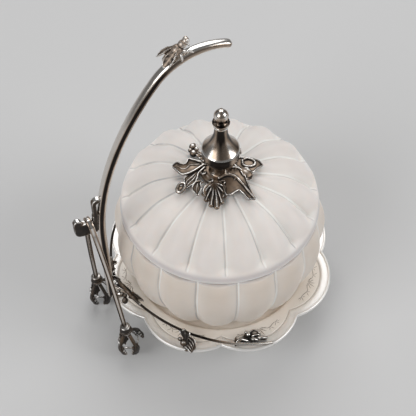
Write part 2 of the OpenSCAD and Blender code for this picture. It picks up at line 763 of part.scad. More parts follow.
// A shape drawn across the strip, Y to the right and Z up, made as wide as the strip
module strip() {
    rotate([90, 0, 90]) translate([0, 0, -strip_w / 2]) linear_extrude(strip_w) children();
}

module tong_bow() {
    color(silver) hung() strip() translate([0, -bow_out]) {
        intersection() {
            difference() {
                circle(bow_out);
                circle(bow_r);
            }
            translate([-bow_out, 0]) square([2 * bow_out, bow_out]);
        }
        for (s = [-1, 1]) translate([s * bow_mid, 0]) circle(knuckle_r);
    }
}

// Frame of one arm: its pivot at the origin, the arm along -Z, side +1 at the rear
module arm_frame(side) {
    hung() translate([0, side * bow_mid, -bow_out]) rotate([side * arm_spread, 0, 0]) children();
}

module tong_arm(side) {
    foot_t = strip_t * strip_foot;
    color(silver) difference() {
        arm_frame(side) strip() difference() {
            polygon([[-strip_t / 2, 0], [strip_t / 2, 0], [foot_t / 2, -arm_l], [-foot_t / 2, -arm_l]]);
            circle(knuckle_r + knuckle_gap);
        }
        at_ferrule(side) sphere(ferrule_r);
    }
}

// Frame of the ferrule and claw, upright in the tongs' own frame
module at_ferrule(side) {
    arm_frame(side) translate([0, 0, -arm_l]) rotate([-side * arm_spread, 0, 0]) children();
}

module tong_ferrule(side) {
    color(old_silver) at_ferrule(side) difference() {
        union() {
            sphere(ferrule_r);
            rotate_extrude() translate([ferrule_r * 0.85, -ferrule_r * 0.35]) circle(ferrule_r * 0.28);
        }
        translate([0, 0, -ferrule_cut - 2 * ferrule_r]) cylinder(r = 2 * ferrule_r, h = 2 * ferrule_r);
    }
}

// Four curved fingers with pointed toes, joined by a web below the ferrule
module tong_claw(side) {
    fingers = 4;
    first_finger = 16;
    cap_r = ferrule_r * 0.88;
    cap_h = ferrule_r * 0.44;
    toe_r = finger_r * 2;
    point_l = toe_r * 1.8;
    root_r = ferrule_r * 0.25;
    widest = claw_l * 0.68;
    span = claw_r - toe_r;
    arc_r = (pow(widest, 2) + pow(span - root_r, 2)) / (2 * (span - root_r));
    top_a = asin(widest / arc_r);
    tip_a = asin((claw_l - widest - point_l) / arc_r);
    web_t = finger_r;
    web = [for (i = [0:4]) top_a * (1 - 0.15 * i)];
    color(old_silver) at_ferrule(side) translate([0, 0, -ferrule_cut]) difference() {
        union() {
            translate([0, 0, -cap_h]) cylinder(r = cap_r, h = cap_h);
            rotate_extrude() translate([span - arc_r, -widest]) polygon(concat(
                [for (a = web) (arc_r + web_t / 2) * [cos(a), sin(a)]],
                [for (i = [4:-1:0]) (arc_r - web_t / 2) * [cos(web[i]), sin(web[i])]]
            ));
            for (k = [0:fingers - 1]) rotate(first_finger + k * 360 / fingers)
                translate([span - arc_r, 0, -widest]) {
                rotate([90, 0, 0]) rotate(-tip_a) rotate_extrude(angle = tip_a + top_a)
                    translate([arc_r, 0]) circle(finger_r);
                rotate([0, tip_a, 0]) translate([arc_r, 0, 0]) {
                    sphere(toe_r);
                    mirror([0, 0, 1]) cylinder(r1 = toe_r * 0.8, r2 = toe_r * 0.15, h = point_l);
                }
            }
        }
        cylinder(r = 2 * claw_r, h = claw_l);
    }
}

module front_arm() { tong_arm(-1); }
module front_ferrule() { tong_ferrule(-1); }
module front_claw() { tong_claw(-1); }
module rear_arm() { tong_arm(1); }
module rear_ferrule() { tong_ferrule(1); }
module rear_claw() { tong_claw(1); }

tray();
rim_bead();
foot();
handle();
handle_rivets();
tong_hook();
rail_wire();
leaf_post_front();
leaf_post_rear();
flower_front();
flower_rear();
spray_front();
spray_rear();
insect();
bowl();
lid();
rosette();
finial_cup();
finial_bell();
finial_ring();
finial_ball();
finial_stud();
cork_washer();
finial_nut();
tong_bow();
front_arm();
front_ferrule();
front_claw();
rear_arm();
rear_ferrule();
rear_claw();
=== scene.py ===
"""Dresses the pickle castor's frame with fine meshes and procedural finishes.

Sizes in the mesh code are millimetres; make() turns them into metres.
"""
import math
import random

import bmesh
import bpy
import numpy as np
from bpy.props import FloatProperty, FloatVectorProperty, PointerProperty
from mathutils import Matrix, Vector


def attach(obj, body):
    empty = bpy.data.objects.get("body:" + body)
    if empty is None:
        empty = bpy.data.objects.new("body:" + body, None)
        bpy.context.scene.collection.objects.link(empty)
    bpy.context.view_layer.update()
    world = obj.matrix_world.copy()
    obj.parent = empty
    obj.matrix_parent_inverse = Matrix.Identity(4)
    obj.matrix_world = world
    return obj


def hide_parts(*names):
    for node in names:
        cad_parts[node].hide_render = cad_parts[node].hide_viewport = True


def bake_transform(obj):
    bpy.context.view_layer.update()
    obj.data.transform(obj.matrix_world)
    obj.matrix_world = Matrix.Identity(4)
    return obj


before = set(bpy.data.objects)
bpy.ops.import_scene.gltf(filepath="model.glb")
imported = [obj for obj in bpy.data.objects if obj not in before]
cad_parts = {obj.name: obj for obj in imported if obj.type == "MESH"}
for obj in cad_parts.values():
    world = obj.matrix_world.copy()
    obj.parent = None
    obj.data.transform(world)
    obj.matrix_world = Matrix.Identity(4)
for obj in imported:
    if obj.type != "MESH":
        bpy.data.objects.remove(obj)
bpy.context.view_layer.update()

bl_info = {
    "name": "Pickle castor",
    "version": (1, 0, 0),
    "blender": (4, 5, 0),
    "location": "3D View > Sidebar > Castor",
    "description": "Frosted bowl and lid on a lobed tray with a crook handle and claw tongs",
    "category": "Object",
}

MM = 0.001
UP = Vector((0, 0, 1))
FRONT, REAR = -1, 1

# Levels and places in millimetres
RIM_Z = 26.0
WELL_Z = 23.5
BOWL_Z = 23.8
BOWL_HIGH = 56.5
BOWL_BASE_R = 50
BELLY_H, BELLY_R = 38.5, 61.5
DOME_Z = 82.2
CROWN_Z = 106.2
HANDLE_X = 70.6
CROOK_X, CROOK_Z, CROOK_R = -8.574, 170.69, 32.6
CROOK_START, CROOK_TURN = 142.5, 73

# Counts round the axis
TRAY_LOBES = 8
GLASS_LOBES = 16


# Shapes

def turn(degrees, axis="Z"):
    """A rotation about one axis."""
    return Matrix.Rotation(math.radians(degrees), 4, axis)


def move(x, y, z):
    """A shift in millimetres."""
    return Matrix.Translation((x, y, z))


def ease(x):
    """A smooth step from 0 to 1."""
    x = min(1.0, max(0.0, x))
    return x * x * (3 - 2 * x)


def bump(x, width):
    """A soft hill round 0."""
    return math.exp(-(x / width) ** 2)


def squared(x, power):
    """A sine or cosine drawn towards a square's corner."""
    return math.copysign(abs(x) ** power, x)


def around(steps):
    """Equal steps round a full turn, in radians."""
    return [2 * math.pi * i / steps for i in range(steps)]


def smooth_path(points, per_span=8):
    """A rounded curve through points."""
    pts = [Vector(p) for p in points]
    ends = [2 * pts[0] - pts[1]] + pts + [2 * pts[-1] - pts[-2]]
    path = []
    for a, b, c, d in zip(ends, ends[1:], ends[2:], ends[3:]):
        for k in range(per_span):
            t = k / per_span
            path.append(0.5 * (2 * b + (c - a) * t + (2 * a - 5 * b + 4 * c - d) * t * t
                               + (3 * b - a - 3 * c + d) * t ** 3))
    return path + [pts[-1]]


def even(points, count):
    """Points at equal distances along a rounded curve."""
    path = smooth_path([(*p, 0) if len(p) == 2 else p for p in points])
    reach = [0.0]
    for p, q in zip(path, path[1:]):
        reach.append(reach[-1] + (q - p).length)
    out, k = [], 0
    for i in range(count + 1):
        want = reach[-1] * i / count
        while k < len(path) - 2 and reach[k + 1] < want:
            k += 1
        share = (want - reach[k]) / max(1e-6, reach[k + 1] - reach[k])
        out.append(path[k].lerp(path[k + 1], min(1.0, max(0.0, share))))
    return out


class Shape:
    """Points in millimetres and the faces between them."""

    ROUNDING = tuple((math.sin(math.radians(a)), math.cos(math.radians(a))) for a in (80, 55, 28))

    def __init__(self):
        self.points = []
        self.faces = []

    def skin(self, rings, loop=False):
        """Joins rings of equal counts; the first and last are closed unless the rings loop."""
        base, count, rows = len(self.points), len(rings[0]), len(rings)
        for ring in rings:
            self.points.extend(Vector(p) for p in ring)
        for k in range(rows if loop else rows - 1):
            a, b = base + k * count, base + (k + 1) % rows * count
            for i in range(count):
                j = (i + 1) % count
                self.faces.append((a + i, a + j, b + j, b + i))
        if not loop:
            self.faces.append(tuple(base + i for i in reversed(range(count))))
            self.faces.append(tuple(base + (rows - 1) * count + i for i in range(count)))

    def join(self, other, matrix=None):
        """Adds another shape, moved by a matrix."""
        base = len(self.points)
        self.points.extend(matrix @ p if matrix else p for p in other.points)
        self.faces.extend(tuple(base + i for i in f) for f in other.faces)
        return self

    def lathe(self, profile, steps=96, loop=False):
        """Turns a profile of (radius, height)."""
        self.skin([[(r * math.cos(a), r * math.sin(a), z) for a in around(steps)] for r, z in profile], loop)
        return self

    def sweep(self, path, sizes, side=None, steps=14, square=2.0, round_ends=True):
        """A rod along a path; sizes are (half thickness, half width) pairs or radii."""
        path = [Vector(p) for p in path]
        last = len(path) - 1
        pairs = [s if isinstance(s, (tuple, list)) else (s, s) for s in sizes]
        tangents = [(path[min(i + 1, last)] - path[max(i - 1, 0)]).normalized() for i in range(len(path))]
        across = Vector(side) if side else tangents[0].orthogonal()
        rings = []

        def ring(p, t, s, size, share=1.0):
            n = t.cross(s)
            out = []
            for a in around(steps):
                c, d = squared(math.cos(a), 2 / square), squared(math.sin(a), 2 / square)
                out.append(p + n * (size[0] * share * c) + s * (size[1] * share * d))
            return out

        for i, p in enumerate(path):
            t = tangents[i]
            s = Vector(side) if side else across
            s = (s - t * s.dot(t)).normalized()
            across = s
            reach = min(pairs[i])
            if round_ends and i == 0:
                rings += [ring(p - t * reach * out, t, s, pairs[i], share) for out, share in self.ROUNDING]
            rings.append(ring(p, t, s, pairs[i]))
            if round_ends and i == last:
                rings += [ring(p + t * reach * out, t, s, pairs[i], share)
                          for out, share in reversed(self.ROUNDING)]
        self.skin(rings)
        return self

    def ball(self, centre, size, matrix=None, steps=18):
        """An egg of three half axes, or one radius."""
        rx, ry, rz = size if isinstance(size, (tuple, list)) else (size,) * 3
        rings = []
        for k in range(1, steps // 2 + 1):
            e = math.pi * (k / (steps // 2 + 1)) - math.pi / 2
            rings.append([(rx * math.cos(e) * math.cos(a), ry * math.cos(e) * math.sin(a), rz * math.sin(e))
                          for a in around(steps)])
        egg = Shape()
        egg.skin(rings)
        return self.join(egg, Matrix.Translation(centre) @ (matrix or Matrix()))

    def leaf(self, matrix, length, width, thick=1.0, peak=0.45, stalk=0.25, lift=(0, 0, 0), cup=0.0, rib=0.4,
             vein=0.2, veins=5, rim=0.0, notch=0.0, notches=6):
        """A cast leaf along +X: lift is its height at root, middle and tip."""
        rows, half = 30, 11
        root, middle, tip = lift
        power = math.log(0.5) / math.log(peak)
        rings = []
        for k in range(rows + 1):
            u = k / rows
            spread = max(math.sin(math.pi * u ** power) if 0 < u < 1 else 0, stalk * (1 - u), 0.05)
            w = width / 2 * spread * (1 + notch * (abs(math.sin(math.pi * notches * u)) - 0.6))
            mid = root * (1 - u) ** 2 + 2 * (2 * middle - (root + tip) / 2) * u * (1 - u) + tip * u * u
            top, under = [], []
            for i in range(2 * half + 1):
                v = i / half - 1
                e = abs(v)
                z = mid + cup * e * e * spread + rib * bump(v, 0.14) * (1 - 0.6 * u) + rim * bump(1 - e, 0.16)
                z += vein * math.cos(2 * math.pi * (veins * u - 0.9 * e)) * e ** 0.5 * spread
                x = length * (u - 0.08 * notch * e)
                y = v * w
                top.append((x, y, z + thick / 2))
                under.append((x, y * 0.97, z - thick / 2))
            rings.append(top + under[::-1])
        blade = Shape()
        blade.skin(rings)
        return self.join(blade, matrix)

    def petal(self, first, second, heights, thick=0.9, sag=0.7, rims=(0.5, 0.5), ribs=(), rib=0.4):
        """A cast leaf between two edges, with heights at root, middle and tip; ribs are shares across."""
        rows, cols = 26, 12
        a, b = even(first, rows), even(second, rows)
        low, mid, high = heights

        def level(u):
            return low * (1 - u) * (1 - 2 * u) + 4 * mid * u * (1 - u) + high * u * (2 * u - 1)

        def at(k, v):
            u = k / rows
            p = a[k].lerp(b[k], v)
            return Vector((p.x, p.y, level(u) - sag * math.sin(math.pi * v) * (1 - 0.5 * u)))

        lift = Vector((0, 0, thick / 2))
        self.skin([[at(k, i / cols) + lift for i in range(cols + 1)]
                   + [at(k, i / cols) - lift for i in range(cols, -1, -1)] for k in range(rows + 1)])
        for v, r in [(0, rims[0]), (1, rims[1])] + [(share, rib) for share in ribs]:
            if r:
                self.sweep([at(k, v) + lift for k in range(rows + 1)],
                           [r * (1 - 0.45 * k / rows) for k in range(rows + 1)])
        return self


# Objects

def mesh_of(name, shape):
    """A mesh in metres with its faces turned outwards."""
    mesh = bpy.data.meshes.new(name)
    mesh.from_pydata([tuple(p * MM for p in v) for v in shape.points], [], shape.faces)
    work = bmesh.new()
    work.from_mesh(mesh)
    bmesh.ops.recalc_face_normals(work, faces=work.faces)
    work.to_mesh(mesh)
    work.free()
    return mesh


def add_piece(name, mesh, body, finish, nodes):
    """A piece that rides a body and stands for CAD nodes."""
    piece = bpy.data.objects.new(name, mesh)
    bpy.context.scene.collection.objects.link(piece)
    mesh.materials.append(finish)
    if nodes:
        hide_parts(*nodes)
    if body:
        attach(piece, body)
    return piece


def make(name, shape, body, finish, nodes=(), smooth=True, sharp=None):
    """Turns a shape into a piece."""
    mesh = mesh_of(name, shape)
    if smooth:
        mesh.shade_smooth()
    if sharp:
        mesh.set_sharp_from_angle(angle=math.radians(sharp))
    return add_piece(name, mesh, body, finish, nodes)


def cast(name, shape, body, finish, nodes, voxel, soften, rubbed=0.0, shaded=0.0):
    """A cast piece: overlapping shapes melted into one skin, with its hollows and ridges marked, painted
    light on faces that look up and painted shade on sides.
    """
    raw = mesh_of(name + "_raw", shape)
    holder = bpy.data.objects.new(name + "_raw", raw)
    bpy.context.scene.collection.objects.link(holder)
    melt = holder.modifiers.new("melt", "REMESH")
    melt.mode = "VOXEL"
    melt.voxel_size = voxel * MM
    calm = holder.modifiers.new("calm", "SMOOTH")
    calm.factor = 0.5
    calm.iterations = soften
    seen = holder.evaluated_get(bpy.context.evaluated_depsgraph_get())
    mesh = bpy.data.meshes.new_from_object(seen)
    bpy.data.objects.remove(holder)
    bpy.data.meshes.remove(raw)
    mesh.name = name
    mesh.materials.clear()
    mesh.shade_smooth()
    mark_relief(mesh, rubbed, shaded)
    return add_piece(name, mesh, body, finish, nodes)


def mark(mesh, name, values):
    """Writes one number for each point of a mesh."""
    layer = mesh.attributes.new(name, "FLOAT", "POINT")
    layer.data.foreach_set("value", np.asarray(values, dtype=np.float32))


def mark_relief(mesh, rubbed, shaded):
    """Writes how far each point stands above its surroundings, more on faces that look up (painted light),
    less on sides and undersides (painted shade).
    """
    gains = {3: 2.6, 24: 1.2}
    count = len(mesh.vertices)
    co = np.empty(count * 3)
    mesh.vertices.foreach_get("co", co)
    co = co.reshape(-1, 3) / MM
    normal = np.empty(count * 3)
    mesh.vertices.foreach_get("normal", normal)
    normal = normal.reshape(-1, 3)
    edge = np.empty(len(mesh.edges) * 2, dtype=np.int64)
    mesh.edges.foreach_get("vertices", edge)
    a, b = edge.reshape(-1, 2).T
    degree = np.maximum(np.bincount(a, minlength=count) + np.bincount(b, minlength=count), 1)

    def spread(field):
        total = np.zeros_like(field)
        for axis in range(field.shape[1]):
            total[:, axis] = (np.bincount(a, weights=field[b, axis], minlength=count)
                              + np.bincount(b, weights=field[a, axis], minlength=count))
        return total / degree[:, None]

    calm, relief = co.copy(), np.zeros(count)
    for step in range(1, max(gains) + 1):
        calm = 0.4 * calm + 0.6 * spread(calm)
        if step in gains:
            relief += gains[step] * ((co - calm) * normal).sum(axis=1)
    upward = np.clip(normal[:, 2], 0, 1)
    # Faces that look up get painted light; sides and undersides get painted shade.
    relief = spread(relief[:, None])[:, 0] + rubbed * upward ** 2 - shaded * (1 - upward)
    mark(mesh, "relief", np.clip(relief, -1, 1))


def dress(node, finish):
    """Gives a CAD node that stays in view its finish."""
    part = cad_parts[node]
    part.data.materials.clear()
    part.data.materials.append(finish)


# Finishes

class Field:
    """A shader socket's value, for use in Python expressions."""

    def __init__(self, finish, socket):
        self.finish = finish
        self.socket = socket

    def math(self, operation, first, second):
        return self.finish.node("ShaderNodeMath", {"operation": operation}, {0: first, 1: second})

    def __add__(self, other):
        return self.math("ADD", self, other)

    __radd__ = __add__

    def __sub__(self, other):
        return self.math("SUBTRACT", self, other)

    def __rsub__(self, other):
        return self.math("SUBTRACT", other, self)

    def __mul__(self, other):
        return self.math("MULTIPLY", self, other)

    __rmul__ = __mul__

    def ramp(self, low, high):
        """0 below low, 1 above high."""
        return self.finish.node("ShaderNodeMapRange", {"interpolation_type": "SMOOTHSTEP"},
                                {"Value": self, "From Min": low, "From Max": high})


class Finish:
    """One material's node tree round a Principled shader."""

    def __init__(self, name, constants):
        self.material = bpy.data.materials.new(name)
        self.material.use_nodes = True
        self.tree = self.material.node_tree
        self.tree.nodes.clear()
        self.shader = self.tree.nodes.new("ShaderNodeBsdfPrincipled")
        self.out = self.tree.nodes.new("ShaderNodeOutputMaterial")
        self.tree.links.new(self.shader.outputs[0], self.out.inputs["Surface"])
        for socket, value in constants.items():
            self.shader.inputs[socket].default_value = value

    def node(self, kind, settings=None, sockets=None, out=0):
        """Any node: its settings first, then its sockets' values or links."""
        made = self.tree.nodes.new(kind)
        for key, value in (settings or {}).items():
            setattr(made, key, value)
        for key, value in (sockets or {}).items():
            if isinstance(value, Field):
                self.tree.links.new(value.socket, made.inputs[key])
            else:
                made.inputs[key].default_value = value
        return Field(self, made.outputs[out])

    def place(self):
        return self.node("ShaderNodeTexCoord", out="Object")

    def noise(self, scale, detail=4.0, stretch=None):
        where = self.place()
        if stretch:
            where = self.node("ShaderNodeMapping", sockets={"Vector": where, "Scale": stretch})
        return self.node("ShaderNodeTexNoise", sockets={
            "Vector": where, "Scale": scale, "Detail": detail, "Roughness": 0.55})

    def given(self, name):
        """A number that the mesh carries for each point."""
        return self.node("ShaderNodeAttribute", {"attribute_name": name}, out="Fac")

    def mix(self, factor, first, second):
        return self.node("ShaderNodeMix", {"data_type": "RGBA"}, {0: factor, 6: first, 7: second}, out=2)

    def bumpy(self, height, strength, distance):
        self.feed("Normal", self.node("ShaderNodeBump", sockets={
            "Height": height, "Strength": strength, "Distance": distance}))

    def feed(self, socket, field):
        self.tree.links.new(field.socket, self.shader.inputs[socket])

    def over(self, factor, shader):
        """Lays a second shader over the first."""
        first = Field(self, self.shader.outputs[0])
        both = self.node("ShaderNodeMixShader", sockets={0: factor, 1: first, 2: shader})
        self.tree.links.new(both.socket, self.out.inputs["Surface"])


def colour(values):
    return (*values, 1.0)


def polished_silver(look):
    """Bright plate with thin warm tarnish. It turns brown, then near black, where the mesh's dark mark is
    high; that mark holds tarnish together with painted shade, painted reflections and painted highlights.
    """
    f = Finish("polished_silver", {"Metallic": 1.0})
    dark = f.given("dark")
    cloud = f.noise(34, 5).ramp(0.42, 0.72)
    spots = f.noise(210, 3).ramp(0.58, 0.78)
    tone = f.mix(cloud * 0.45, colour(look.silver), colour(look.warm_silver))
    tone = f.mix(spots * 0.25, tone, colour(look.tarnish))
    # The dark mark is partly tarnish and partly painted shade and reflection. Its darkest step uses the
    # hollow colour.
    worn = dark * (0.85 + 0.3 * f.noise(120, 3))
    tone = f.mix(worn.ramp(0.0, 0.55), tone, f.mix(cloud, colour(look.brown_silver), colour(look.tarnish)))
    f.feed("Base Color", f.mix(worn.ramp(0.45, 1.0), tone, colour(look.hollow)))
    wiped = f.noise(420, 3, stretch=(1, 1, 0.15))
    f.feed("Roughness", 0.12 + 0.10 * cloud + 0.08 * wiped + 0.14 * worn)
    f.bumpy(f.noise(160, 3), 0.06, 0.0004)
    return f.material


def tray_silver(look):
    """Plate worn to a pale satin, with a brighter border."""
    f = Finish("tray_silver", {})
    polish = f.given("polish")
    cloud = f.noise(26, 6).ramp(0.38, 0.70)
    spots = f.noise(300, 3).ramp(0.62, 0.80)
    tone = f.mix(cloud * 0.55, colour(look.satin), colour(look.satin_warm))
    tone = f.mix(spots * 0.14, tone, colour(look.tarnish))
    tone = f.mix(polish * 0.85, tone, colour(look.border))
    f.feed("Base Color", f.mix(f.given("line") * 0.6, tone, colour(look.engraving)))
    f.feed("Metallic", 0.28 + 0.42 * polish)
    f.feed("Roughness", 0.42 - 0.10 * polish + 0.10 * cloud + 0.06 * f.noise(700, 2))
    f.bumpy(f.noise(90, 4), 0.06, 0.0004)
    return f.material


def cast_metal(name, look, low, high, top, middle, stain=0.7):
    """Cast ornament: dark patina in the hollows and worn bright on the ridges, with painted light on faces
    that look up and painted shade on sides.
    """
    f = Finish(name, {})
    relief = f.given("relief")
    grain = f.noise(520, 4) - 0.5
    cloud = f.noise(85, 4).ramp(0.35, 0.7)
    # The relief mark holds patina and wear together with painted light and painted shade.
    level = relief + 0.14 * grain + 0.26 * (f.noise(240, 3) - 0.5)
    worn = level.ramp(low, high)
    bright = level.ramp(high, top)
    skin = f.mix(worn, colour(look.hollow), f.mix(cloud * stain, colour(middle), colour(look.tarnish)))
    f.feed("Base Color", f.mix(bright, skin, colour(look.silver)))
    f.feed("Metallic", 0.55 + 0.45 * worn)
    f.feed("Roughness", 0.44 - 0.24 * bright + 0.08 * cloud)
    f.bumpy(f.noise(900, 3), 0.12, 0.0003)
    return f.material


def cast_silver(look):
    """Castings on the lid and tray: brown between bright ridges."""
    return cast_metal("cast_silver", look, -0.16, 0.08, 0.27, look.old_silver)


def worn_silver(look):
    """The fly: grey plate, dark only in its gaps."""
    return cast_metal("worn_silver", look, -0.16, 0.04, 0.26, look.brown_silver, 0.25)


def black_silver(look):
    """Castings by the handle and the claws: nearly black except for ridges worn bright and faces that look
    up, which get painted light.
    """
    return cast_metal("black_silver", look, -0.05, 0.24, 0.44, look.black_silver)


def engraved_line(look):
    """Cut lines that have kept their tarnish."""
    f = Finish("engraved_line", {"Metallic": 0.8})
    f.feed("Base Color", f.mix(f.noise(260, 3).ramp(0.3, 0.75), colour(look.engraving), colour(look.tarnish)))
    f.feed("Roughness", 0.42 + 0.16 * f.noise(600, 2))
    return f.material


def frosted_glass(look, name, milk, milk_warm, deep):
    """Etched glass: milky, greyer with painted shade in the middle of each lobe, and a rim painted greyer
    that is partly clearer glass and partly painted shade. Each cut line has a painted highlight on one flank
    and painted shade on the other.
    """
    f = Finish(name, {
        "IOR": 1.5, "Specular IOR Level": 0.3, "Coat Roughness": 0.28,
        "Subsurface Weight": 0.85, "Subsurface Radius": (0.80, 0.92, 1.0), "Subsurface Scale": 0.007})
    groove = f.given("groove")
    rim = f.given("rim")
    cloud = f.noise(18, 4).ramp(0.35, 0.7)
    lobe = f.given("lobe") * (0.7 + 0.3 * cloud)
    # Painted shade in the middle of each lobe.
    milky = f.mix(lobe, f.mix(cloud * 0.7, colour(milk), colour(milk_warm)), colour(deep))
    # The rim is painted greyer: partly clearer glass, partly painted shade.
    milky = f.mix(rim * 0.75, milky, colour(look.glass_rim))
    # A painted highlight line runs along the lid's lower edge.
    f.feed("Base Color", f.mix(f.given("lip"), milky, colour(look.glass_line)))
    grain = f.noise(900, 2)
    f.feed("Roughness", 0.50 + 0.10 * grain - 0.15 * rim)
    f.feed("Coat Weight", 0.08 + 0.12 * cloud + 0.2 * rim)
    f.bumpy(f.noise(1900, 3), 0.10, 0.0002)
    streak = f.noise(55, 3).ramp(0.30, 0.66)
    # Painted highlight on one flank of each cut line and painted shade on the other, varied by noise.
    bright = groove.ramp(0.10, 0.7) * (0.45 + 0.55 * streak)
    grey = (-1 * groove).ramp(0.1, 0.9) * (0.75 - 0.6 * streak)
    tone = f.mix(bright.ramp(0.0, 0.3), colour(look.glass_groove), colour(look.glass_line))
    cut = f.node("ShaderNodeBsdfPrincipled", sockets={"Base Color": tone, "Roughness": 0.3 + 0.1 * grain})
    f.over(bright + grey, cut)
    return f.material


def lid_glass(look):
    """Glass of the lid."""
    return frosted_glass(look, "lid_glass", look.glass, look.glass_warm, look.glass_deep)


def bowl_glass(look):
    """Glass of the bowl, a little warmer."""
    return frosted_glass(look, "bowl_glass", look.bowl_glass, look.bowl_glass_warm, look.bowl_glass_deep)


def cork(look):
    """Pressed cork with dark pores."""
    f = Finish("cork", {})
    grains = f.node("ShaderNodeTexVoronoi", sockets={"Vector": f.place(), "Scale": 700.0}).ramp(0.1, 0.6)
    f.feed("Base Color", f.mix(grains * 0.7, colour(look.cork), colour(look.cork_dark)))
    f.feed("Roughness", 0.8 + 0.1 * f.noise(300, 2))
    f.bumpy(grains, 0.3, 0.0003)
    return f.material


def floor_cloth(look):
    """A plain pale floor."""
    f = Finish("floor", {"Roughness": 0.9, "Specular IOR Level": 0.2})
    cloud = f.noise(3, 3).ramp(0.2, 0.8)
    f.feed("Base Color", f.mix(cloud * 0.25, colour(look.floor), colour(look.floor_shade)))
    return f.material


def finish(name):
    """The finish of that name, made at its first use."""
    known = bpy.data.materials.get(name)
    if known:
        return known
    makers = {"polished_silver": polished_silver, "tray_silver": tray_silver, "cast_silver": cast_silver,
              "worn_silver": worn_silver, "black_silver": black_silver, "engraved_line": engraved_line,
              "lid_glass": lid_glass, "bowl_glass": bowl_glass, "cork": cork, "floor": floor_cloth}
    return makers[name](bpy.context.scene.castor_look)


# Settings

def size_of(label, text, millimetres):
    """A length setting."""
    return FloatProperty(name=label, description=text, default=millimetres * MM, unit="LENGTH", precision=5)


def tone_of(label, text, values):
    """A colour setting."""
    return FloatVectorProperty(name=label, description=text, default=values, subtype="COLOR", min=0, max=1)


class CastorSizes(bpy.types.PropertyGroup):
    """Sizes of the fine meshes."""
    crest: size_of("Lobe crest", "Radius of the tray at the crest of a lobe", 70.4)
    lobe_depth: size_of("Lobe depth", "Depth of the cusps between the tray's lobes", 6.4)
    border: size_of("Border", "Width of the border outside the engraved line", 6.0)
    edge_roll: size_of("Rolled edge", "Radius of the roll along the tray's edge", 0.8)
    bowl_groove: size_of("Bowl grooves", "Depth of the grooves between the bowl's lobes", 3.0)
    lid_groove: size_of("Lid grooves", "Depth of the grooves between the lid's lobes", 2.9)
    cut_deep: size_of("Cut line", "Depth of the fine line at the bottom of a groove", 0.22)
    cut_wide: size_of("Cut width", "Half width of the fine line at the bottom of a groove", 0.75)
    glass_wall: size_of("Glass wall", "Thickness of the bowl and the lid", 3.0)
    handle_thick: size_of("Handle thickness", "Thickness of the handle rod in its own plane", 4.6)
    handle_wide: size_of("Handle width", "Width of the handle rod across its plane", 5.6)
    wire: size_of("Rail wire", "Diameter of the rail wire", 1.5)
    strip_wide: size_of("Strip width", "Width of the tongs' strip", 3.2)
    strip_thick: size_of("Strip thickness", "Thickness of the tongs' strip", 1.2)
    claw_reach: size_of("Claw radius", "Largest radius of a claw", 7.6)


class CastorLook(bpy.types.PropertyGroup):
    """Colours of the finishes."""
    silver: tone_of("Silver", "Bright plate", (0.84, 0.82, 0.79))
    warm_silver: tone_of("Warm silver", "Plate under a thin tarnish", (0.66, 0.59, 0.51))
    brown_silver: tone_of("Brown silver", "Plate under a thick tarnish", (0.50, 0.40, 0.32))
    satin: tone_of("Satin silver", "Worn plate of the tray", (0.93, 0.89, 0.83))
    satin_warm: tone_of("Warm satin", "Warmer clouds of the worn plate", (0.86, 0.77, 0.67))
    border: tone_of("Border", "Polished border of the tray", (1.0, 0.99, 0.97))
    old_silver: tone_of("Old silver", "Brown metal between hollows and ridges", (0.36, 0.28, 0.215))
    black_silver: tone_of("Black silver", "Dark metal of the castings by the handle", (0.085, 0.075, 0.068))
    tarnish: tone_of("Tarnish", "Golden-brown tarnish", (0.20, 0.135, 0.085))
    # Also used for the darkest painted shade and painted reflection on cast and polished silver.
    hollow: tone_of("Hollow", "Darkest hollows of the casting", (0.022, 0.018, 0.016))
    engraving: tone_of("Engraving", "Cut lines on the tray", (0.46, 0.42, 0.38))
    glass: tone_of("Glass", "Frosted glass of the lid", (0.96, 0.90, 0.85))
    glass_warm: tone_of("Warm glass", "Pinkish clouds of the lid", (0.95, 0.86, 0.79))
    # Painted shade in the middle of the lid's lobes.
    glass_deep: tone_of("Deep glass", "Thick of the lid's lobes", (0.84, 0.775, 0.735))
    bowl_glass: tone_of("Bowl glass", "Frosted glass of the bowl", (0.91, 0.81, 0.72))
    bowl_glass_warm: tone_of("Warm bowl glass", "Warm clouds of the bowl", (0.90, 0.78, 0.67))
    # Painted shade in the middle of the bowl's lobes.
    bowl_glass_deep: tone_of("Deep bowl glass", "Thick of the bowl's lobes", (0.72, 0.63, 0.55))
    # Painted highlight on the cut lines and on the lid's lower edge; painted shade on the other flank of the
    # cut lines.
    glass_line: tone_of("Bright line", "Bright flank of a cut line", (1.0, 0.98, 0.94))
    glass_groove: tone_of("Grey line", "Grey flank of a cut line", (0.44, 0.425, 0.44))
    # Rim of the glass: partly clearer glass, partly painted shade.
    glass_rim: tone_of("Glass rim", "Clearer rim of the glass", (0.62, 0.58, 0.585))
    cork: tone_of("Cork", "Cork", (0.45, 0.28, 0.14))
    cork_dark: tone_of("Cork pores", "Pores of the cork", (0.12, 0.06, 0.03))
    floor: tone_of("Floor", "Pale floor", (0.64, 0.64, 0.64))
    floor_shade: tone_of("Floor shade", "Darker clouds of the floor", (0.60, 0.60, 0.61))


def mm(length):
    """A setting in millimetres."""
    return length / MM


# Forms of this object

def tray_edge(sizes, a):
    """Distance of the tray's lobed edge from the axis in direction a."""
    crest = mm(sizes.crest)
    cusp = crest - mm(sizes.lobe_depth)
    step = 2 * math.pi / TRAY_LOBES
    centre = (crest ** 2 - cusp ** 2) / 2 / (crest - cusp * math.cos(step / 2))
    r = crest - centre
    b = (a + step / 2) % step - step / 2
    return centre * math.cos(b) + math.sqrt(r * r - (centre * math.sin(b)) ** 2)


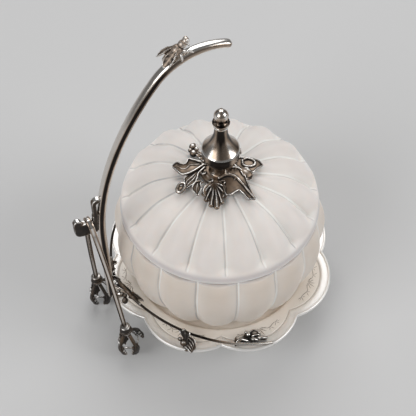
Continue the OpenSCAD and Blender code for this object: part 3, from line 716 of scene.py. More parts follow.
def bowl_radius(h):
    """Outer radius of the bowl at a height above its base."""
    if h < BELLY_H:
        tuck = 4.2 * (1 - math.sqrt(1 - ((4 - h) / 4) ** 2)) if h < 4 else 0
        return BOWL_BASE_R + (BELLY_R - BOWL_BASE_R) * (1 - ((BELLY_H - h) / BELLY_H) ** 2) - tuck
    return BELLY_R - 5 * ((h - BELLY_H) / (BOWL_HIGH - BELLY_H)) ** 2


def glass_angles(turned):
    """Directions round the glass, closer together beside the grooves."""
    out = []
    for k in range(GLASS_LOBES):
        for i in range(24):
            u = i / 24
            crowded = 0.8 * math.sin(2 * math.pi * u) / (2 * math.pi)
            out.append(math.radians(turned + 360 / GLASS_LOBES * (k + u - crowded)))
    return out


def fluted(sizes, rows, turned, depth):
    """Glass between grooves: rows are (radius, height, share of groove, outward slope (r, z)).

    Gives the rings, and for each point its side of a cut line and its share of a lobe.
    """
    angles = glass_angles(turned)
    start, step = math.radians(turned), 2 * math.pi / GLASS_LOBES
    wide = mm(sizes.cut_wide)
    rings, grooves, lobes = [], [], []
    for r, z, share, (nr, nz) in rows:
        ring = []
        for a in angles:
            s = math.sin(math.pi / step * (a - start))
            broad = 1 - math.sqrt(s * s + 0.0016)
            off = ((a - start + step / 2) % step - step / 2) * r
            d = share * (depth * broad + mm(sizes.cut_deep) * bump(off, wide))
            ring.append(((r - d * nr) * math.cos(a), (r - d * nr) * math.sin(a), z - d * nz))
            # The flanks mark where each cut line gets a painted highlight on one side and painted shade on
            # the other. The lobes mark painted shade in each lobe's middle.
            flanks = bump(off - 0.5 * wide, 0.7 * wide) - bump(off + 0.9 * wide, 0.6 * wide)
            grooves.append(min(1, 2.5 * share) * flanks)
            lobes.append(min(1, share) * ease((abs(s) - 0.15) / 0.85))
        rings.append(ring)
    return rings, grooves, lobes


class RailLine:
    """The rail's front half: an arc on a tilted plane, through its start, a middle point and its end."""
    START_X, START_H = -67.26, 18
    MIDDLE_R, MIDDLE_TURN = 64.4, math.radians(41)
    END_Y, END_H = -69.2, 2.4

    def __init__(self):
        tilt = math.atan((self.START_H - self.END_H) / -self.START_X)
        self.tilt = move(0, 0, RIM_Z + self.END_H) @ Matrix.Rotation(tilt, 4, "Y")
        start = Vector((self.START_X / math.cos(tilt), 0))
        a = self.MIDDLE_TURN
        mid = -self.MIDDLE_R * Vector((math.cos(a) / math.cos(tilt), math.sin(a)))
        end = Vector((0, self.END_Y))
        d = 2 * (start.x * (mid.y - end.y) + mid.x * (end.y - start.y) + end.x * (start.y - mid.y))
        sa, sb, sc = (p.dot(p) for p in (start, mid, end))
        self.c = Vector(((sa * (mid.y - end.y) + sb * (end.y - start.y) + sc * (start.y - mid.y)) / d,
                         (sa * (end.x - mid.x) + sb * (start.x - end.x) + sc * (mid.x - start.x)) / d))
        self.r = (start - self.c).length
        self.a0 = math.atan2(start.y - self.c.y, start.x - self.c.x) % (2 * math.pi)
        self.a1 = math.atan2(end.y - self.c.y, end.x - self.c.x) % (2 * math.pi)

    def at(self, share):
        """The point at a share of the way."""
        a = self.a0 + share * (self.a1 - self.a0)
        return self.tilt @ Vector((self.c.x + self.r * math.cos(a), self.c.y + self.r * math.sin(a), 0))


RAIL = RailLine()
MIRROR = Matrix.Diagonal((1, -1, 1, 1))


def mirrored(shape):
    """The same shape on the rear side."""
    return Shape().join(shape, MIRROR)


# The tongs on their hook: the bow's top, its radius and drop, and the arms' spread and length
HUNG = move(-77.0, 0, 104.509) @ turn(5, "Z") @ turn(-2.3, "Y") @ turn(-4.7, "X")
BOW_R = 4.4
BOW_DROP = 5.0
ARM_SPREAD = 12.5
FERRULE_DROP = 76.4


def arm_frame(side):
    """Pivot of one arm of the tongs, the arm along -Z."""
    return HUNG @ move(0, side * BOW_R, -BOW_DROP) @ turn(side * ARM_SPREAD, "X")


def at_ferrule(side):
    """The ferrule's centre, upright in the tongs' own frame."""
    return arm_frame(side) @ move(0, 0, -FERRULE_DROP) @ turn(-side * ARM_SPREAD, "X")


# Operators

class MakeTray(bpy.types.Operator):
    """Lobed tray with its well, engraved line, rolled edge and engraved sprigs"""
    bl_idname = "castor.tray"
    bl_label = "Tray"

    def execute(self, context):
        sizes = context.scene.castor_sizes
        border = mm(sizes.border)
        well_r, well_h = 54.0, WELL_Z - RIM_Z
        # Radius and height above the flange
        inner = [(0.4, well_h), (20, well_h), (40, well_h), (49.5, well_h), (50.9, -2.45), (51.6, -2.15),
                 (52.2, -1.3), (52.7, -0.6), (53.2, -0.15), (well_r, 0)]
        under = [(55.0, -1.4), (53.8, -1.7), (52.6, -3.1), (51.6, -3.7), (50.4, -3.88), (30, -3.9),
                 (0.4, -3.9)]
        # Share of the way from the well to the border, and height
        flange = [(0.12, 0), (0.35, -0.03), (0.6, -0.03), (0.85, 0), (0.97, 0)]
        # Distance in from the edge, and height: the cut line, the border and the turned edge
        outer = [(border + 0.8, 0), (border + 0.6, -0.28), (border + 0.1, -0.28), (border - 0.1, 0),
                 (border - 0.9, 0.16), (border - 2.2, 0.30), (border - 3.6, 0.30), (border - 4.6, 0.18),
                 (0.9, 0.1), (0.25, -0.2), (0.0, -0.7), (0.2, -1.2), (0.9, -1.4), (6, -1.4)]
        angles = around(720)
        edge = [tray_edge(sizes, a) for a in angles]
        rows = [[(r, h) for e in edge] for r, h in inner]
        rows += [[(well_r + (e - border - 0.8 - well_r) * share, h) for e in edge] for share, h in flange]
        polished = len(rows) + 3
        rows += [[(e - inset, h) for e in edge] for inset, h in outer]
        rows += [[(r, h) for e in edge] for r, h in under]
        shape = Shape()
        shape.skin([[(r * math.cos(a), r * math.sin(a), RIM_Z + h) for a, (r, h) in zip(angles, row)]
                    for row in rows])
        piece = make("tray_plate", shape, "stand", finish("tray_silver"), ["tray"])
        levels = [k - polished for k in range(len(rows)) for a in angles]
        mark(piece.data, "polish", [float(level >= 0) for level in levels])
        mark(piece.data, "line", [float(level in (-2, -1)) for level in levels])
        self.rolled_edge(sizes)
        self.sprigs()
        return {"FINISHED"}

    def rolled_edge(self, sizes):
        """The roll along the edge, open at the handle's foot plate."""
        roll = mm(sizes.edge_roll)
        gap = math.asin(5.7 / 70)
        path = []
        count = 960
        for i in range(count + 1):
            a = -math.pi + gap + (2 * math.pi - 2 * gap) * i / count
            e = tray_edge(sizes, a) - roll * 1.05
            path.append((e * math.cos(a), e * math.sin(a), RIM_Z + 0.25))
        shape = Shape().sweep(path, [roll] * len(path), side=UP, steps=16)
        piece = make("tray_rolled_edge", shape, "stand", finish("tray_silver"), ["rim_bead"])
        mark(piece.data, "polish", [1.0] * len(shape.points))

    def sprigs(self):
        """Engraved fans and tendrils on the flange of each lobe."""
        dice = random.Random(7)
        shape = Shape()

        def stroke(points, wide):
            path = [Vector((r * math.cos(a), r * math.sin(a), RIM_Z + 0.03)) for r, a in points]
            left, right = [], []
            for i, p in enumerate(path):
                t = (path[min(i + 1, len(path) - 1)] - path[max(i - 1, 0)]).normalized()
                s = i / (len(path) - 1)
                n = t.cross(UP) * wide / 2 * (0.12 + math.sin(math.pi * min(1, s * 0.9 + 0.05)))
                left.append(p + n)
                right.append(p - n)
            base = len(shape.points)
            shape.points.extend(left + right)
            count = len(path)
            for i in range(count - 1):
                shape.faces.append((base + i, base + i + 1, base + count + i + 1, base + count + i))

        def sprig(r0, a0, heading, length, count, wide):
            """Short strokes that fan out from one point; heading 0 is outwards."""
            for k in range(count):
                d = math.radians(heading + (k / (count - 1) - 0.5) * 130)
                reach = length * (1 - 0.35 * abs(k / (count - 1) - 0.5)) * dice.uniform(0.85, 1.1)
                points = []
                for i in range(7):
                    s = 0.12 + 0.88 * i / 6
                    b = d + 0.3 * s * (k / (count - 1) - 0.5)
                    points.append((r0 + reach * s * math.cos(b), a0 + reach * s * math.sin(b) / r0))
                stroke(points, wide)

        for middle in around(TRAY_LOBES):
            sprig(57.2, middle, 0, 5.6, 6, 0.34)
            for s in (-1, 1):
                tendril = []
                for i in range(22):
                    u = i / 21
                    r = 57.0 + 2.2 * math.sin(2.6 * u) + 1.0 * math.sin(7 * u)
                    tendril.append((r, middle + s * (0.03 + 0.21 * u)))
                stroke(tendril, 0.30)
                for u, heading in ((0.4, 40), (0.8, 35)):
                    r, a = tendril[int(u * 21)]
                    sprig(r, a, s * heading, 3.0, 3, 0.26)
        make("tray_engraving", shape, "stand", finish("engraved_line"), smooth=False)


class MakeFoot(bpy.types.Operator):
    """Spun foot under the tray"""
    bl_idname = "castor.foot"
    bl_label = "Foot"

    def execute(self, context):
        top, sheet, hole_r, waist_r, spread = 22.1, 1.6, 28.6, 35.0, 10.2
        arc = [math.radians(90 * k / 14) for k in range(15)]
        profile = [(hole_r, top)]
        profile += [(waist_r + spread * (1 - math.cos(a)), top - 18.4 * math.sin(a)) for a in arc]
        profile += [(45.5, 3.4), (45.9, 2.6), (46.0, 1.6), (45.9, 0.7), (45.5, 0.15), (44.8, 0.0),
                    (43.2, 0.0), (42.8, 0.4), (42.9, 2.2)]
        profile += [(waist_r - sheet + spread * (1 - math.cos(a)), top - sheet - 17.6 * math.sin(a))
                    for a in reversed(arc[:-1])]
        profile += [(hole_r, top - sheet)]
        shape = Shape().lathe(profile, 160, loop=True)
        piece = make("foot_spun", shape, "stand", finish("tray_silver"), ["foot"], sharp=50)
        mark(piece.data, "polish", [0.8] * len(shape.points))
        return {"FINISHED"}


class MakeHandle(bpy.types.Operator):
    """Crook handle with its foot plate"""
    bl_idname = "castor.handle"
    bl_label = "Handle"

    def execute(self, context):
        sizes = context.scene.castor_sizes
        half_t, half_w = mm(sizes.handle_thick) / 2, mm(sizes.handle_wide) / 2
        foot_z, sweep_z, sweep_r = RIM_Z + 0.4, 84, 175
        path = [(-HANDLE_X, 0, foot_z + (sweep_z - foot_z) * k / 24) for k in range(25)]
        for k in range(1, 49):
            a = math.radians(180 - (180 - CROOK_START) * k / 48)
            path.append((sweep_r - HANDLE_X + sweep_r * math.cos(a), 0, sweep_z + sweep_r * math.sin(a)))
        for k in range(1, 41):
            a = math.radians(CROOK_START - CROOK_TURN * k / 40)
            path.append((CROOK_X + CROOK_R * math.cos(a), 0, CROOK_Z + CROOK_R * math.sin(a)))
        total = len(path)
        pairs = []
        for i, p in enumerate(path):
            flare = 1 + 0.12 * math.exp(-(p[2] - RIM_Z) / 3.5) if i < 30 else 1
            slim = 1 - 0.16 * ease((i - (total - 26)) / 26)
            pairs.append((half_t * slim, half_w * flare * slim))
        steps = 32
        shape = Shape().sweep(path, pairs, side=(0, 1, 0), steps=steps, square=2.35)
        rod = len(shape.points)
        self.foot_plate(shape)
        piece = make("crook_handle", shape, "stand", finish("polished_silver"), ["handle"])
        dark = []
        for i in range(len(shape.points)):
            along = i / rod
            a = 2 * math.pi * (i % steps) / steps
            # Painted reflection and shade: dark bands along both flanks of the rod, with some tarnish, easing
            # off up the crook.
            flank = max(bump(1 - math.cos(a - math.radians(b)), 0.12) for b in (75, 285))
            upper = ease((along - 0.55) / 0.3)
            dark.append(max(1.15 * flank * (1 - 0.45 * upper), 0.2 - 0.15 * upper) if i < rod else 0.3)
        mark(piece.data, "dark", dark)
        return {"FINISHED"}

    def foot_plate(self, shape):
        """Plate with rounded corners that holds the rod on the tray."""
        middle_x, half_l, half_w = -66.9, 4.6, 5.3
        outline = []
        for a in around(64):
            narrow = 1 - 0.16 * max(0, math.cos(a))
            outline.append((squared(math.cos(a), 0.55), squared(math.sin(a), 0.6) * narrow))
        rings = []
        for h, inset in ((0.02, 0.15), (0.2, 0), (1.5, 0), (1.95, 0.2), (2.18, 0.7), (2.2, 1.6)):
            long, wide = half_l - inset, half_w - inset
            rings.append([(middle_x + x * long, y * wide, RIM_Z + h) for x, y in outline])
        shape.skin(rings)


class MakeFly(bpy.types.Operator):
    """Cast fly on the crook"""
    bl_idname = "castor.fly"
    bl_label = "Fly"

    def execute(self, context):
        perch = CROOK_START - CROOK_TURN * 0.41
        rod_half = mm(context.scene.castor_sizes.handle_thick) / 2
        seat = move(CROOK_X, 0, CROOK_Z) @ turn(90 - perch, "Y") @ move(0, 0, CROOK_R + rod_half)
        legs = ((0.5, ((2.4, 1.6, 3.6), (4.2, 3.2, 3.4), (5.6, 2.9, 1.2), (6.4, 2.5, -0.6))),
                (0.6, ((0.8, 1.9, 3.2), (0.9, 3.7, 2.6), (0.4, 3.6, 0.6), (0.0, 2.9, -1.0))),
                (0.45, ((-1.2, 1.5, 2.8), (-3.6, 3.3, 2.6), (-5.6, 3.0, 0.6), (-6.8, 2.4, -0.8))))
        fly = Shape()
        fly.ball((0.6, 0, 3.9), (3.4, 2.7, 2.5), turn(-8, "Y"))
        fly.ball((-3.6, 0, 3.2), (4.6, 2.0, 1.8), turn(-10, "Y"))
        fly.ball((4.1, 0, 5.1), (2.2, 2.2, 2.0))
        fly.ball((6.3, 0, 6.0), (1.8, 1.9, 1.7))
        for s in (FRONT, REAR):
            fly.ball((7.0, s * 1.15, 6.6), (0.8, 0.75, 0.8))
            fly.leaf(move(1.6, s * 1.1, 5.6) @ turn(180 - s * 15, "Z") @ turn(14, "Y") @ turn(s * 24, "X"),
                     11.6, 4.6, 0.6, peak=0.6, stalk=0.3, rib=0.25, vein=0.07, veins=4, rim=0.35, cup=0.5)
            for r, points in legs:
                fly.sweep(smooth_path([(x, s * y, z) for x, y, z in points]), [r] * 25)
        placed = Shape().join(fly, seat)
        cast("cast_fly", placed, "stand", finish("worn_silver"), ["insect"],
             voxel=0.2, soften=2)
        return {"FINISHED"}


class MakeHook(bpy.types.Operator):
    """Flat cast hook for the tongs"""
    bl_idname = "castor.hook"
    bl_label = "Hook"

    def execute(self, context):
        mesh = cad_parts["tong_hook"].data
        shape = Shape()
        shape.points = [v.co / MM for v in mesh.vertices]
        shape.faces = [tuple(p.vertices) for p in mesh.polygons]
        # Painted light on faces that look up.
        cast("cast_hook", shape, "stand", finish("black_silver"), ["tong_hook"],
             voxel=0.25, soften=5, rubbed=0.34)
        return {"FINISHED"}


class MakeRail(bpy.types.Operator):
    """Wire rail round both sides, with its sprays, posts and flowers"""
    bl_idname = "castor.rail"
    bl_label = "Rail"

    def execute(self, context):
        r = mm(context.scene.castor_sizes.wire) / 2
        wire = Shape()
        count = 120
        path = [RAIL.at(1.025 * k / count) for k in range(count + 1)]
        wire.sweep(path, [r] * (count + 1), side=UP, steps=16)
        for end in (path[0], path[-1]):
            wire.ball(end, r * 1.2)
        wire.join(mirrored(wire))
        piece = make("rail_wires", wire, "stand", finish("polished_silver"), ["rail_wire"])
        # Painted highlight along the top of the wire towards its front end; the rest of the wire is dark.
        mark(piece.data, "dark", [0.95 - 0.9 * ease((v.co.x / MM + 34) / 20) * ease(0.4 + v.normal.z)
                                  for v in piece.data.vertices])
        for word in ("front", "rear"):
            for name, shape, rubbed in (("spray", self.spray(word), 0.12), ("leaf_post", self.post(), 0.24),
                                        ("flower", self.flower(), 0.36)):
                placed = shape if word == "front" else mirrored(shape)
                # Painted light on faces that look up and painted shade on sides.
                cast(f"{name}_cast_{word}", placed, "stand", finish("black_silver"),
                     [f"{name}_{word}"], voxel=0.2, soften=1, rubbed=rubbed, shaded=0.12)
        return {"FINISHED"}

    def spray(self, word):
        """Leaves and berries along the rail beside the handle; fewer at the rear."""
        shape = Shape()
        start, end = 0.045, 0.24 if word == "front" else 0.12
        shape.sweep([RAIL.at(start + (end - start) * k / 20) for k in range(21)],
                    [1.25 - 0.35 * k / 20 for k in range(21)])
        shape.petal([(-69.4, -0.6), (-67.0, -1.6), (-65.0, -4.2)],
                    [(-69.4, -3.2), (-68.2, -4.4), (-65.4, -5.2)],
                    (43.4, 44.2, 43.0), ribs=(0.5,))
        if word == "rear":
            shape.petal([(-67.4, -4.6), (-66.0, -6.2), (-63.4, -6.8), (-62.6, -8.6)],
                        [(-67.8, -6.0), (-67.0, -8.4), (-64.6, -9.2), (-62.6, -8.8)],
                        (43.0, 44.0, 42.6), ribs=(0.5,), sag=0.4)
            shape.ball((-67.2, -6.0, 41.6), 1.4)
            shape.ball((-66.2, -8.2, 41.4), 1.1)
            return shape
        shape.petal([(-67.0, -5.4), (-64.2, -9.0), (-61.8, -13.2)],
                    [(-68.6, -7.4), (-66.4, -11.4), (-62.2, -14.6)],
                    (42.6, 43.6, 42.0), ribs=(0.5,), sag=0.5)
        shape.petal([(-62.6, -14.2), (-60.4, -16.2), (-57.4, -21.8)],
                    [(-64.4, -17.0), (-63.4, -18.6), (-62.0, -18.8), (-61.4, -20.8), (-59.6, -20.8),
                     (-57.4, -22.0)],
                    (41.8, 42.6, 41.0), ribs=(0.35, 0.7), rib=0.3, sag=0.3)
        for x, y, z, r in ((-66.4, -6.0, 43.0, 0.9), (-67.2, -12.4, 40.6, 1.45), (-67.0, -16.6, 39.8, 1.9),
                           (-61.9, -15.4, 41.9, 1.6), (-66.0, -14.2, 41.0, 1.3), (-68.3, -9.8, 41.0, 1.2)):
            shape.ball((x, y, z), r)
        return shape

    def post(self):
        """Stem, ball and ridged fan that carry the rail from the tray's border."""
        shape = Shape()
        p = RAIL.at(0.53)
        foot = Vector((-43.2, -52.2, 26.1))
        stem = [p + Vector((-0.6, 0.8, 0.4)), p + Vector((0.1, -0.4, -2.2)),
                foot + Vector((-0.6, 0.6, 4.2)), foot]
        shape.sweep(smooth_path(stem), [1.3 + 0.5 * k / 24 for k in range(25)])
        shape.petal([(p.x - 2.4, p.y + 2.4), (p.x - 2.4, p.y), (p.x - 1.4, p.y - 2.4)],
                    [(p.x + 2.2, p.y - 1.6), (p.x + 1.6, p.y - 3.0), (p.x - 0.2, p.y - 3.6)],
                    (p.z - 0.4, p.z - 1.4, p.z - 4.0), ribs=(0.5,), sag=-0.6)
        shape.ball((-45.0, -51.4, 31.6), 2.0)
        shape.ball((-46.2, -49.0, 33.2), 1.3)
        shape.petal([(-45.2, -50.6), (-44.8, -54.2), (-42.8, -57.4)],
                    [(-40.6, -48.6), (-38.4, -51.6), (-39.2, -55.2)],
                    (30.8, 30.0, 27.4), ribs=(0.25, 0.5, 0.75), rib=0.5, sag=0.1, rims=(0.55, 0.55))
        shape.ball(foot, (2.6, 2.6, 1.2))
        return shape

    def flower(self):
        """Arched leaf, upright bud, pale leaf and two drops on the front flange."""
        shape = Shape()
        shape.ball((-8.2, -61.2, 26.4), (5.6, 3.2, 0.9))
        arch = even([(-16.9, -61.0, 26.4), (-16.2, -60.4, 28.9), (-13.6, -60.3, 30.0),
                     (-9.9, -61.8, 28.2)], 20)
        shape.sweep(arch, [(0.5, 1.7 - 0.6 * abs(k / 20 - 0.5)) for k in range(21)], side=(0.3, 1, 0))
        shape.sweep([q + Vector((-0.2, -1.5, 0.3)) for q in arch], [0.55] * 21)
        shape.sweep(even([(-9.6, -60.6, 27.0), (-9.2, -60.4, 29.2), (-8.6, -60.8, 30.6)], 10),
                    [1.9 - 0.05 * k for k in range(11)])
        shape.ball((-8.2, -57.8, 27.8), 1.2)
        shape.petal([(-7.4, -59.4), (-4.2, -58.8), (-1.4, -61.6)],
                    [(-6.6, -61.8), (-3.4, -62.6), (-1.2, -62.4)],
                    (28.2, 29.2, 28.0), thick=1.1, rims=(0.6, 0.6), sag=0.3)
        for path in ([(-8.0, -62.2, 27.8), (-6.6, -63.8, 28.4), (-4.9, -64.6, 27.9)],
                     [(-4.6, -62.8, 27.8), (-2.2, -64.6, 28.4), (0.3, -65.4, 27.8)]):
            shape.sweep(even(path, 12), [0.8 + 0.55 * math.sin(math.pi * k / 16) for k in range(13)])
        return shape


class MakeBowl(bpy.types.Operator):
    """Lobed frosted bowl"""
    bl_idname = "castor.bowl"
    bl_label = "Bowl"

    def execute(self, context):
        sizes = context.scene.castor_sizes
        wall = mm(sizes.glass_wall)
        rows = []

        def row(r, h, share=0.0, out=(1, 0)):
            rows.append((r, BOWL_Z + h, share, out))

        def fade(h):
            """Share of the grooves' depth at a height: less at the foot and at the rim."""
            return min(1, 0.15 + h / 3) * min(1, 0.45 + (BOWL_HIGH - h) / 14)

        row(0.4, 0.5)
        row(30, 0.3)
        row(43.6, 0.05)
        for k in range(8):
            h = 4 * (1 - math.cos(math.pi / 2 * k / 8))
            row(bowl_radius(h), h, fade(h))
        for k in range(44):
            h = 4 + 50.6 * k / 43
            row(bowl_radius(h), h, fade(h))
        for r, h in ((57.0, 54.9), (56.5, 55.1), (55.8, 55.3), (54.7, 55.4), (54.0, 55.1)):
            row(r, h, 0.3, (1, -1.0))
        for k in range(24):
            h = 55 - 48 * k / 23
            row(bowl_radius(h) - wall, h, 0.6 * fade(h))
        for r, h in ((48.6, 4.6), (46.8, 3.3), (44, wall), (20, wall), (0.4, wall)):
            row(r, h)
        rings, grooves, lobes = fluted(sizes, rows, 8.5, mm(sizes.bowl_groove))
        shape = Shape()
        shape.skin(rings)
        piece = make("glass_bowl", shape, "bowl", finish("bowl_glass"), ["bowl"])
        mark(piece.data, "groove", grooves)
        heights = [v.co.z / MM - BOWL_Z for v in piece.data.vertices]
        # Painted shade in the middle of the lobes, fading out near the foot. The top rim is painted greyer:
        # partly clearer glass, partly the lid's painted shadow.
        mark(piece.data, "lobe", [lobe * ease((h - 4) / 28) for lobe, h in zip(lobes, heights)])
        mark(piece.data, "rim", [ease((h - 54.6) / 1.0) for h in heights])
        mark(piece.data, "lip", [0.0] * len(heights))
        return {"FINISHED"}


class MakeLid(bpy.types.Operator):
    """Lobed frosted lid"""
    bl_idname = "castor.lid"
    bl_label = "Lid"

    def execute(self, context):
        sizes = context.scene.castor_sizes
        rows = []

        def row(r, z, share=0.0, out=(1, 0)):
            rows.append((r, z, share, out))

        def dome(s, size, rise, share):
            """A row of a dome with full shoulders, at a share of its radius."""
            full = 2.3
            h = rise * (1 - s ** full) ** (1 / full)
            out = Vector((s ** (full - 1) / size, (h / rise) ** (full - 1) / rise)).normalized()
            row(s * size, DOME_Z + min(h, rise - 0.05), share, tuple(out))

        def relief(s, h):
            """Lobes low on the crown and full above the plain band."""
            return (0.62 + 0.78 * ease((s - 0.62) / 0.26)) * ease((s - 0.2) / 0.16) * ease((h - 2.0) / 4.6)

        wall, hole_r, dome_r = mm(sizes.glass_wall), 2.6, 56.3
        rise = CROWN_Z - DOME_Z
        for r in (hole_r, 8, 11.5):
            row(r, CROWN_Z)
        for k in range(1, 52):
            s = math.sin(math.radians(13 + 73.5 * k / 51))
            dome(s, dome_r, rise, relief(s, rise * math.sqrt(1 - s * s)))
        for r, z in ((56.2, 83.6), (56.5, 83.1), (56.7, 82.5), (56.75, 81.9), (56.6, 81.2), (56.2, 80.8),
                     (55.5, 80.6), (52.2, 80.6), (51.6, 80.4), (51.6, 78.6), (51.2, 78.3), (50.5, 78.3),
                     (50.1, 78.7), (50.1, 81.2)):
            row(r, z)
        for k in range(18):
            s = 0.93 - 0.68 * k / 17
            dome(s, dome_r - wall, rise - wall, 0.9 * relief(s, 22 * math.sqrt(1 - s * s)))
        row(12, CROWN_Z - wall)
        row(hole_r, CROWN_Z - wall)
        rings, grooves, lobes = fluted(sizes, rows, 2.3, mm(sizes.lid_groove))
        shape = Shape()
        shape.skin(rings, loop=True)
        piece = make("glass_lid", shape, "lid", finish("lid_glass"), ["lid"])
        mark(piece.data, "groove", grooves)
        # Painted shade in the middle of the lobes. The lower band is painted greyer, partly clearer glass and
        # partly painted shade, with a painted highlight along the lower edge.
        mark(piece.data, "lobe", lobes)
        heights = [v.co.z / MM - DOME_Z for v in piece.data.vertices]
        mark(piece.data, "rim", [1 - ease((h - 1.8) / 4.0) for h in heights])
        mark(piece.data, "lip", [bump(h + 0.6, 0.7) for h in heights])
        return {"FINISHED"}


class MakeRosette(bpy.types.Operator):
    """Cast leaves round the foot of the knob"""
    bl_idname = "castor.rosette"
    bl_label = "Rosette"

    def execute(self, context):
        shape = Shape()
        shape.lathe([(2.1, 106.55), (10.6, 106.55), (11.2, 107.2), (10.4, 108.2), (8.6, 108.9), (7.4, 108.6),
                     (2.1, 108.2)], 48)
        self.left_leaves(shape)
        self.front_leaves(shape)
        self.right_leaves(shape)
        self.rear_leaves(shape)
        scrolls = 9
        for k in range(scrolls):
            scroll = []
            for i in range(12):
                b = math.radians(-40 + 230 * i / 11)
                bend = Vector((9.6 + 1.2 * math.cos(b), 1.4 * math.sin(b), 109.0 + 0.6 * math.sin(b)))
                scroll.append(turn(360 / scrolls * k + 12) @ bend)
            shape.sweep(scroll, [0.5] * 12)
        # Painted shade on the sides and undersides of the leaves, and a little painted light on faces that
        # look up.
        cast("rosette_cast", shape, "lid", finish("cast_silver"), ["rosette"],
             voxel=0.2, soften=1, rubbed=0.05, shaded=0.36)
        return {"FINISHED"}

    def left_leaves(self, shape):
        """Scalloped leaf, ridged leaf with its rolled end, and a small bud."""
        shape.petal([(-7.6, 8.5), (-11.1, 11.4), (-13.4, 13), (-16, 10.8), (-18.3, 12.3), (-19.6, 14.5),
                     (-22.6, 14)],
                    [(-7.1, 6.2), (-11.3, 4.8), (-14.1, 4.1), (-17.7, 3.8), (-20.7, 4.8), (-21.8, 8),
                     (-22.8, 12.5)],
                    (108.8, 109.0, 107.0), sag=1.1, rims=(0.55, 0.8), ribs=(0.4,), rib=0.35)
        shape.petal([(-8.3, 6.0), (-13.5, 3.8), (-18.3, 3.0), (-20.5, 2.2), (-21.2, -0.2), (-22.8, -1.4)],
                    [(-7.5, 4.4), (-12.1, 2), (-14.2, -0.8), (-16.8, -3), (-21, -4), (-23, -3.6)],
                    (108.6, 108.4, 107.2), sag=0.6, rims=(0.5, 0.6), ribs=(0.35, 0.65), rib=0.5)
        loop = [(-26.7, -2, 107.2), (-24.2, -0.3, 108.4), (-22, -1.2, 108.8), (-22.5, -3.3, 108.4),
                (-25.3, -4.9, 107.2), (-27, -3.7, 106.9), (-26.6, -2.2, 107.2)]
        shape.sweep(smooth_path(loop), [0.8] * 49)
        shape.ball((-24.4, -2.6, 107.1), (2.2, 1.7, 0.8))
        shape.petal([(-13.6, -3.2), (-16.6, -3.6), (-19.6, -6.9), (-18.4, -10.4)],
                    [(-12.4, -4.4), (-14.2, -5.6), (-14.9, -8.2), (-17.6, -10.8)],
                    (108.6, 109.2, 107.4), sag=0.8, rims=(0.6, 0.6), ribs=(0.5,))

    def front_leaves(self, shape):
        """Ribbed shell leaf and the wide wing leaf beside it."""
        shape.petal([(-7.2, -7.2), (-10.8, -7), (-13.7, -8.6), (-15.2, -11.2), (-15, -14), (-14.2, -17.2),
                     (-14.1, -19.5), (-12.3, -22.1)],
                    [(-4.7, -8.3), (-2.6, -11.1), (-2.8, -13.8), (-4.9, -17), (-7.4, -19.2), (-9, -21.2),
                     (-11.7, -22.3)],
                    (108.9, 108.8, 106.2), sag=-0.6, rims=(0, 0))
        root = Vector((-7.6, -8.6, 0))
        for x, y in ((-14.9, -11.4), (-15.2, -15.6), (-14.2, -19.8), (-11.9, -22.4), (-8.3, -20.4),
                     (-4.8, -17.0), (-2.7, -13.0)):
            middle = (0.5 * x - 3.8, 0.55 * y - 3.9, 110.1)
            rib = smooth_path([(root.x, root.y, 109.3), middle, (x, y, 107.2)], 10)
            shape.sweep(rib, [(0.55 + 0.35 * k / 20, 0.6 + 0.85 * k / 20) for k in range(21)],
                        side=UP.cross(Vector((x, y, 0)) - root))
            shape.sweep([q + Vector((0, 0, 0.7 + 0.02 * k)) for k, q in enumerate(rib)], [0.42] * 21)
        shape.petal([(-3.9, -8.2), (-3.8, -12.9), (-4.5, -17.7), (-1.6, -18.5), (3.2, -17.1), (4.8, -19.9),
                     (6, -23.7), (9.5, -24.9)],
                    [(-3.2, -5.7), (0.2, -5.5), (3.5, -6.7), (5.4, -8.9), (6.2, -12.1), (7.3, -15.4),
                     (7.9, -18.9), (9.7, -24.6)],
                    (109.0, 108.8, 106.4), sag=0.9, rims=(0.5, 0.95))
        shape.petal([(2.9, -5.5), (5.6, -8.5), (6.6, -12.8), (7.5, -17.4), (8.8, -22.5)],
                    [(6.4, -1.6), (9.2, -3.9), (10.4, -7.8), (9.9, -12.4), (9.2, -22)],
                    (108.8, 109.2, 106.8), sag=0.5, rims=(0.3, 0.55))

    def right_leaves(self, shape):
        """Leaf with a hollow curl, and the fold below it."""
        shape.petal([(8.4, -0.7), (9.4, -3.5), (10.9, -5.1), (13.5, -5.3), (14.4, -8.1), (16, -8.8),
                     (19.5, -7), (23.2, -5.7)],
                    [(9.4, 2.6), (13.1, 2.9), (15.5, 1.6), (18.7, 0.2), (22.1, -2.3), (23.3, -5.3)],
                    (108.6, 108.6, 106.8), sag=0.7, rims=(0.6, 0.6))
        curl = [(13.5, 0.5, 109.0), (16.3, 0.8, 109.4), (19.4, -1.6, 109.0), (18.9, -4.3, 108.6),
                (15.3, -4.6, 108.8), (12.8, -2.6, 109.2), (13.4, 0.2, 109.8)]
        shape.sweep(smooth_path(curl), [0.6] * 49)
        shape.petal([(9.6, -5.0), (9.4, -8.4), (10.4, -11.4), (12.3, -11.9)],
                    [(11.4, -5.4), (13.2, -7.0), (14.8, -10), (13.4, -11.6)],
                    (108.6, 109.4, 106.8), sag=-0.7, rims=(0.5, 0.5))

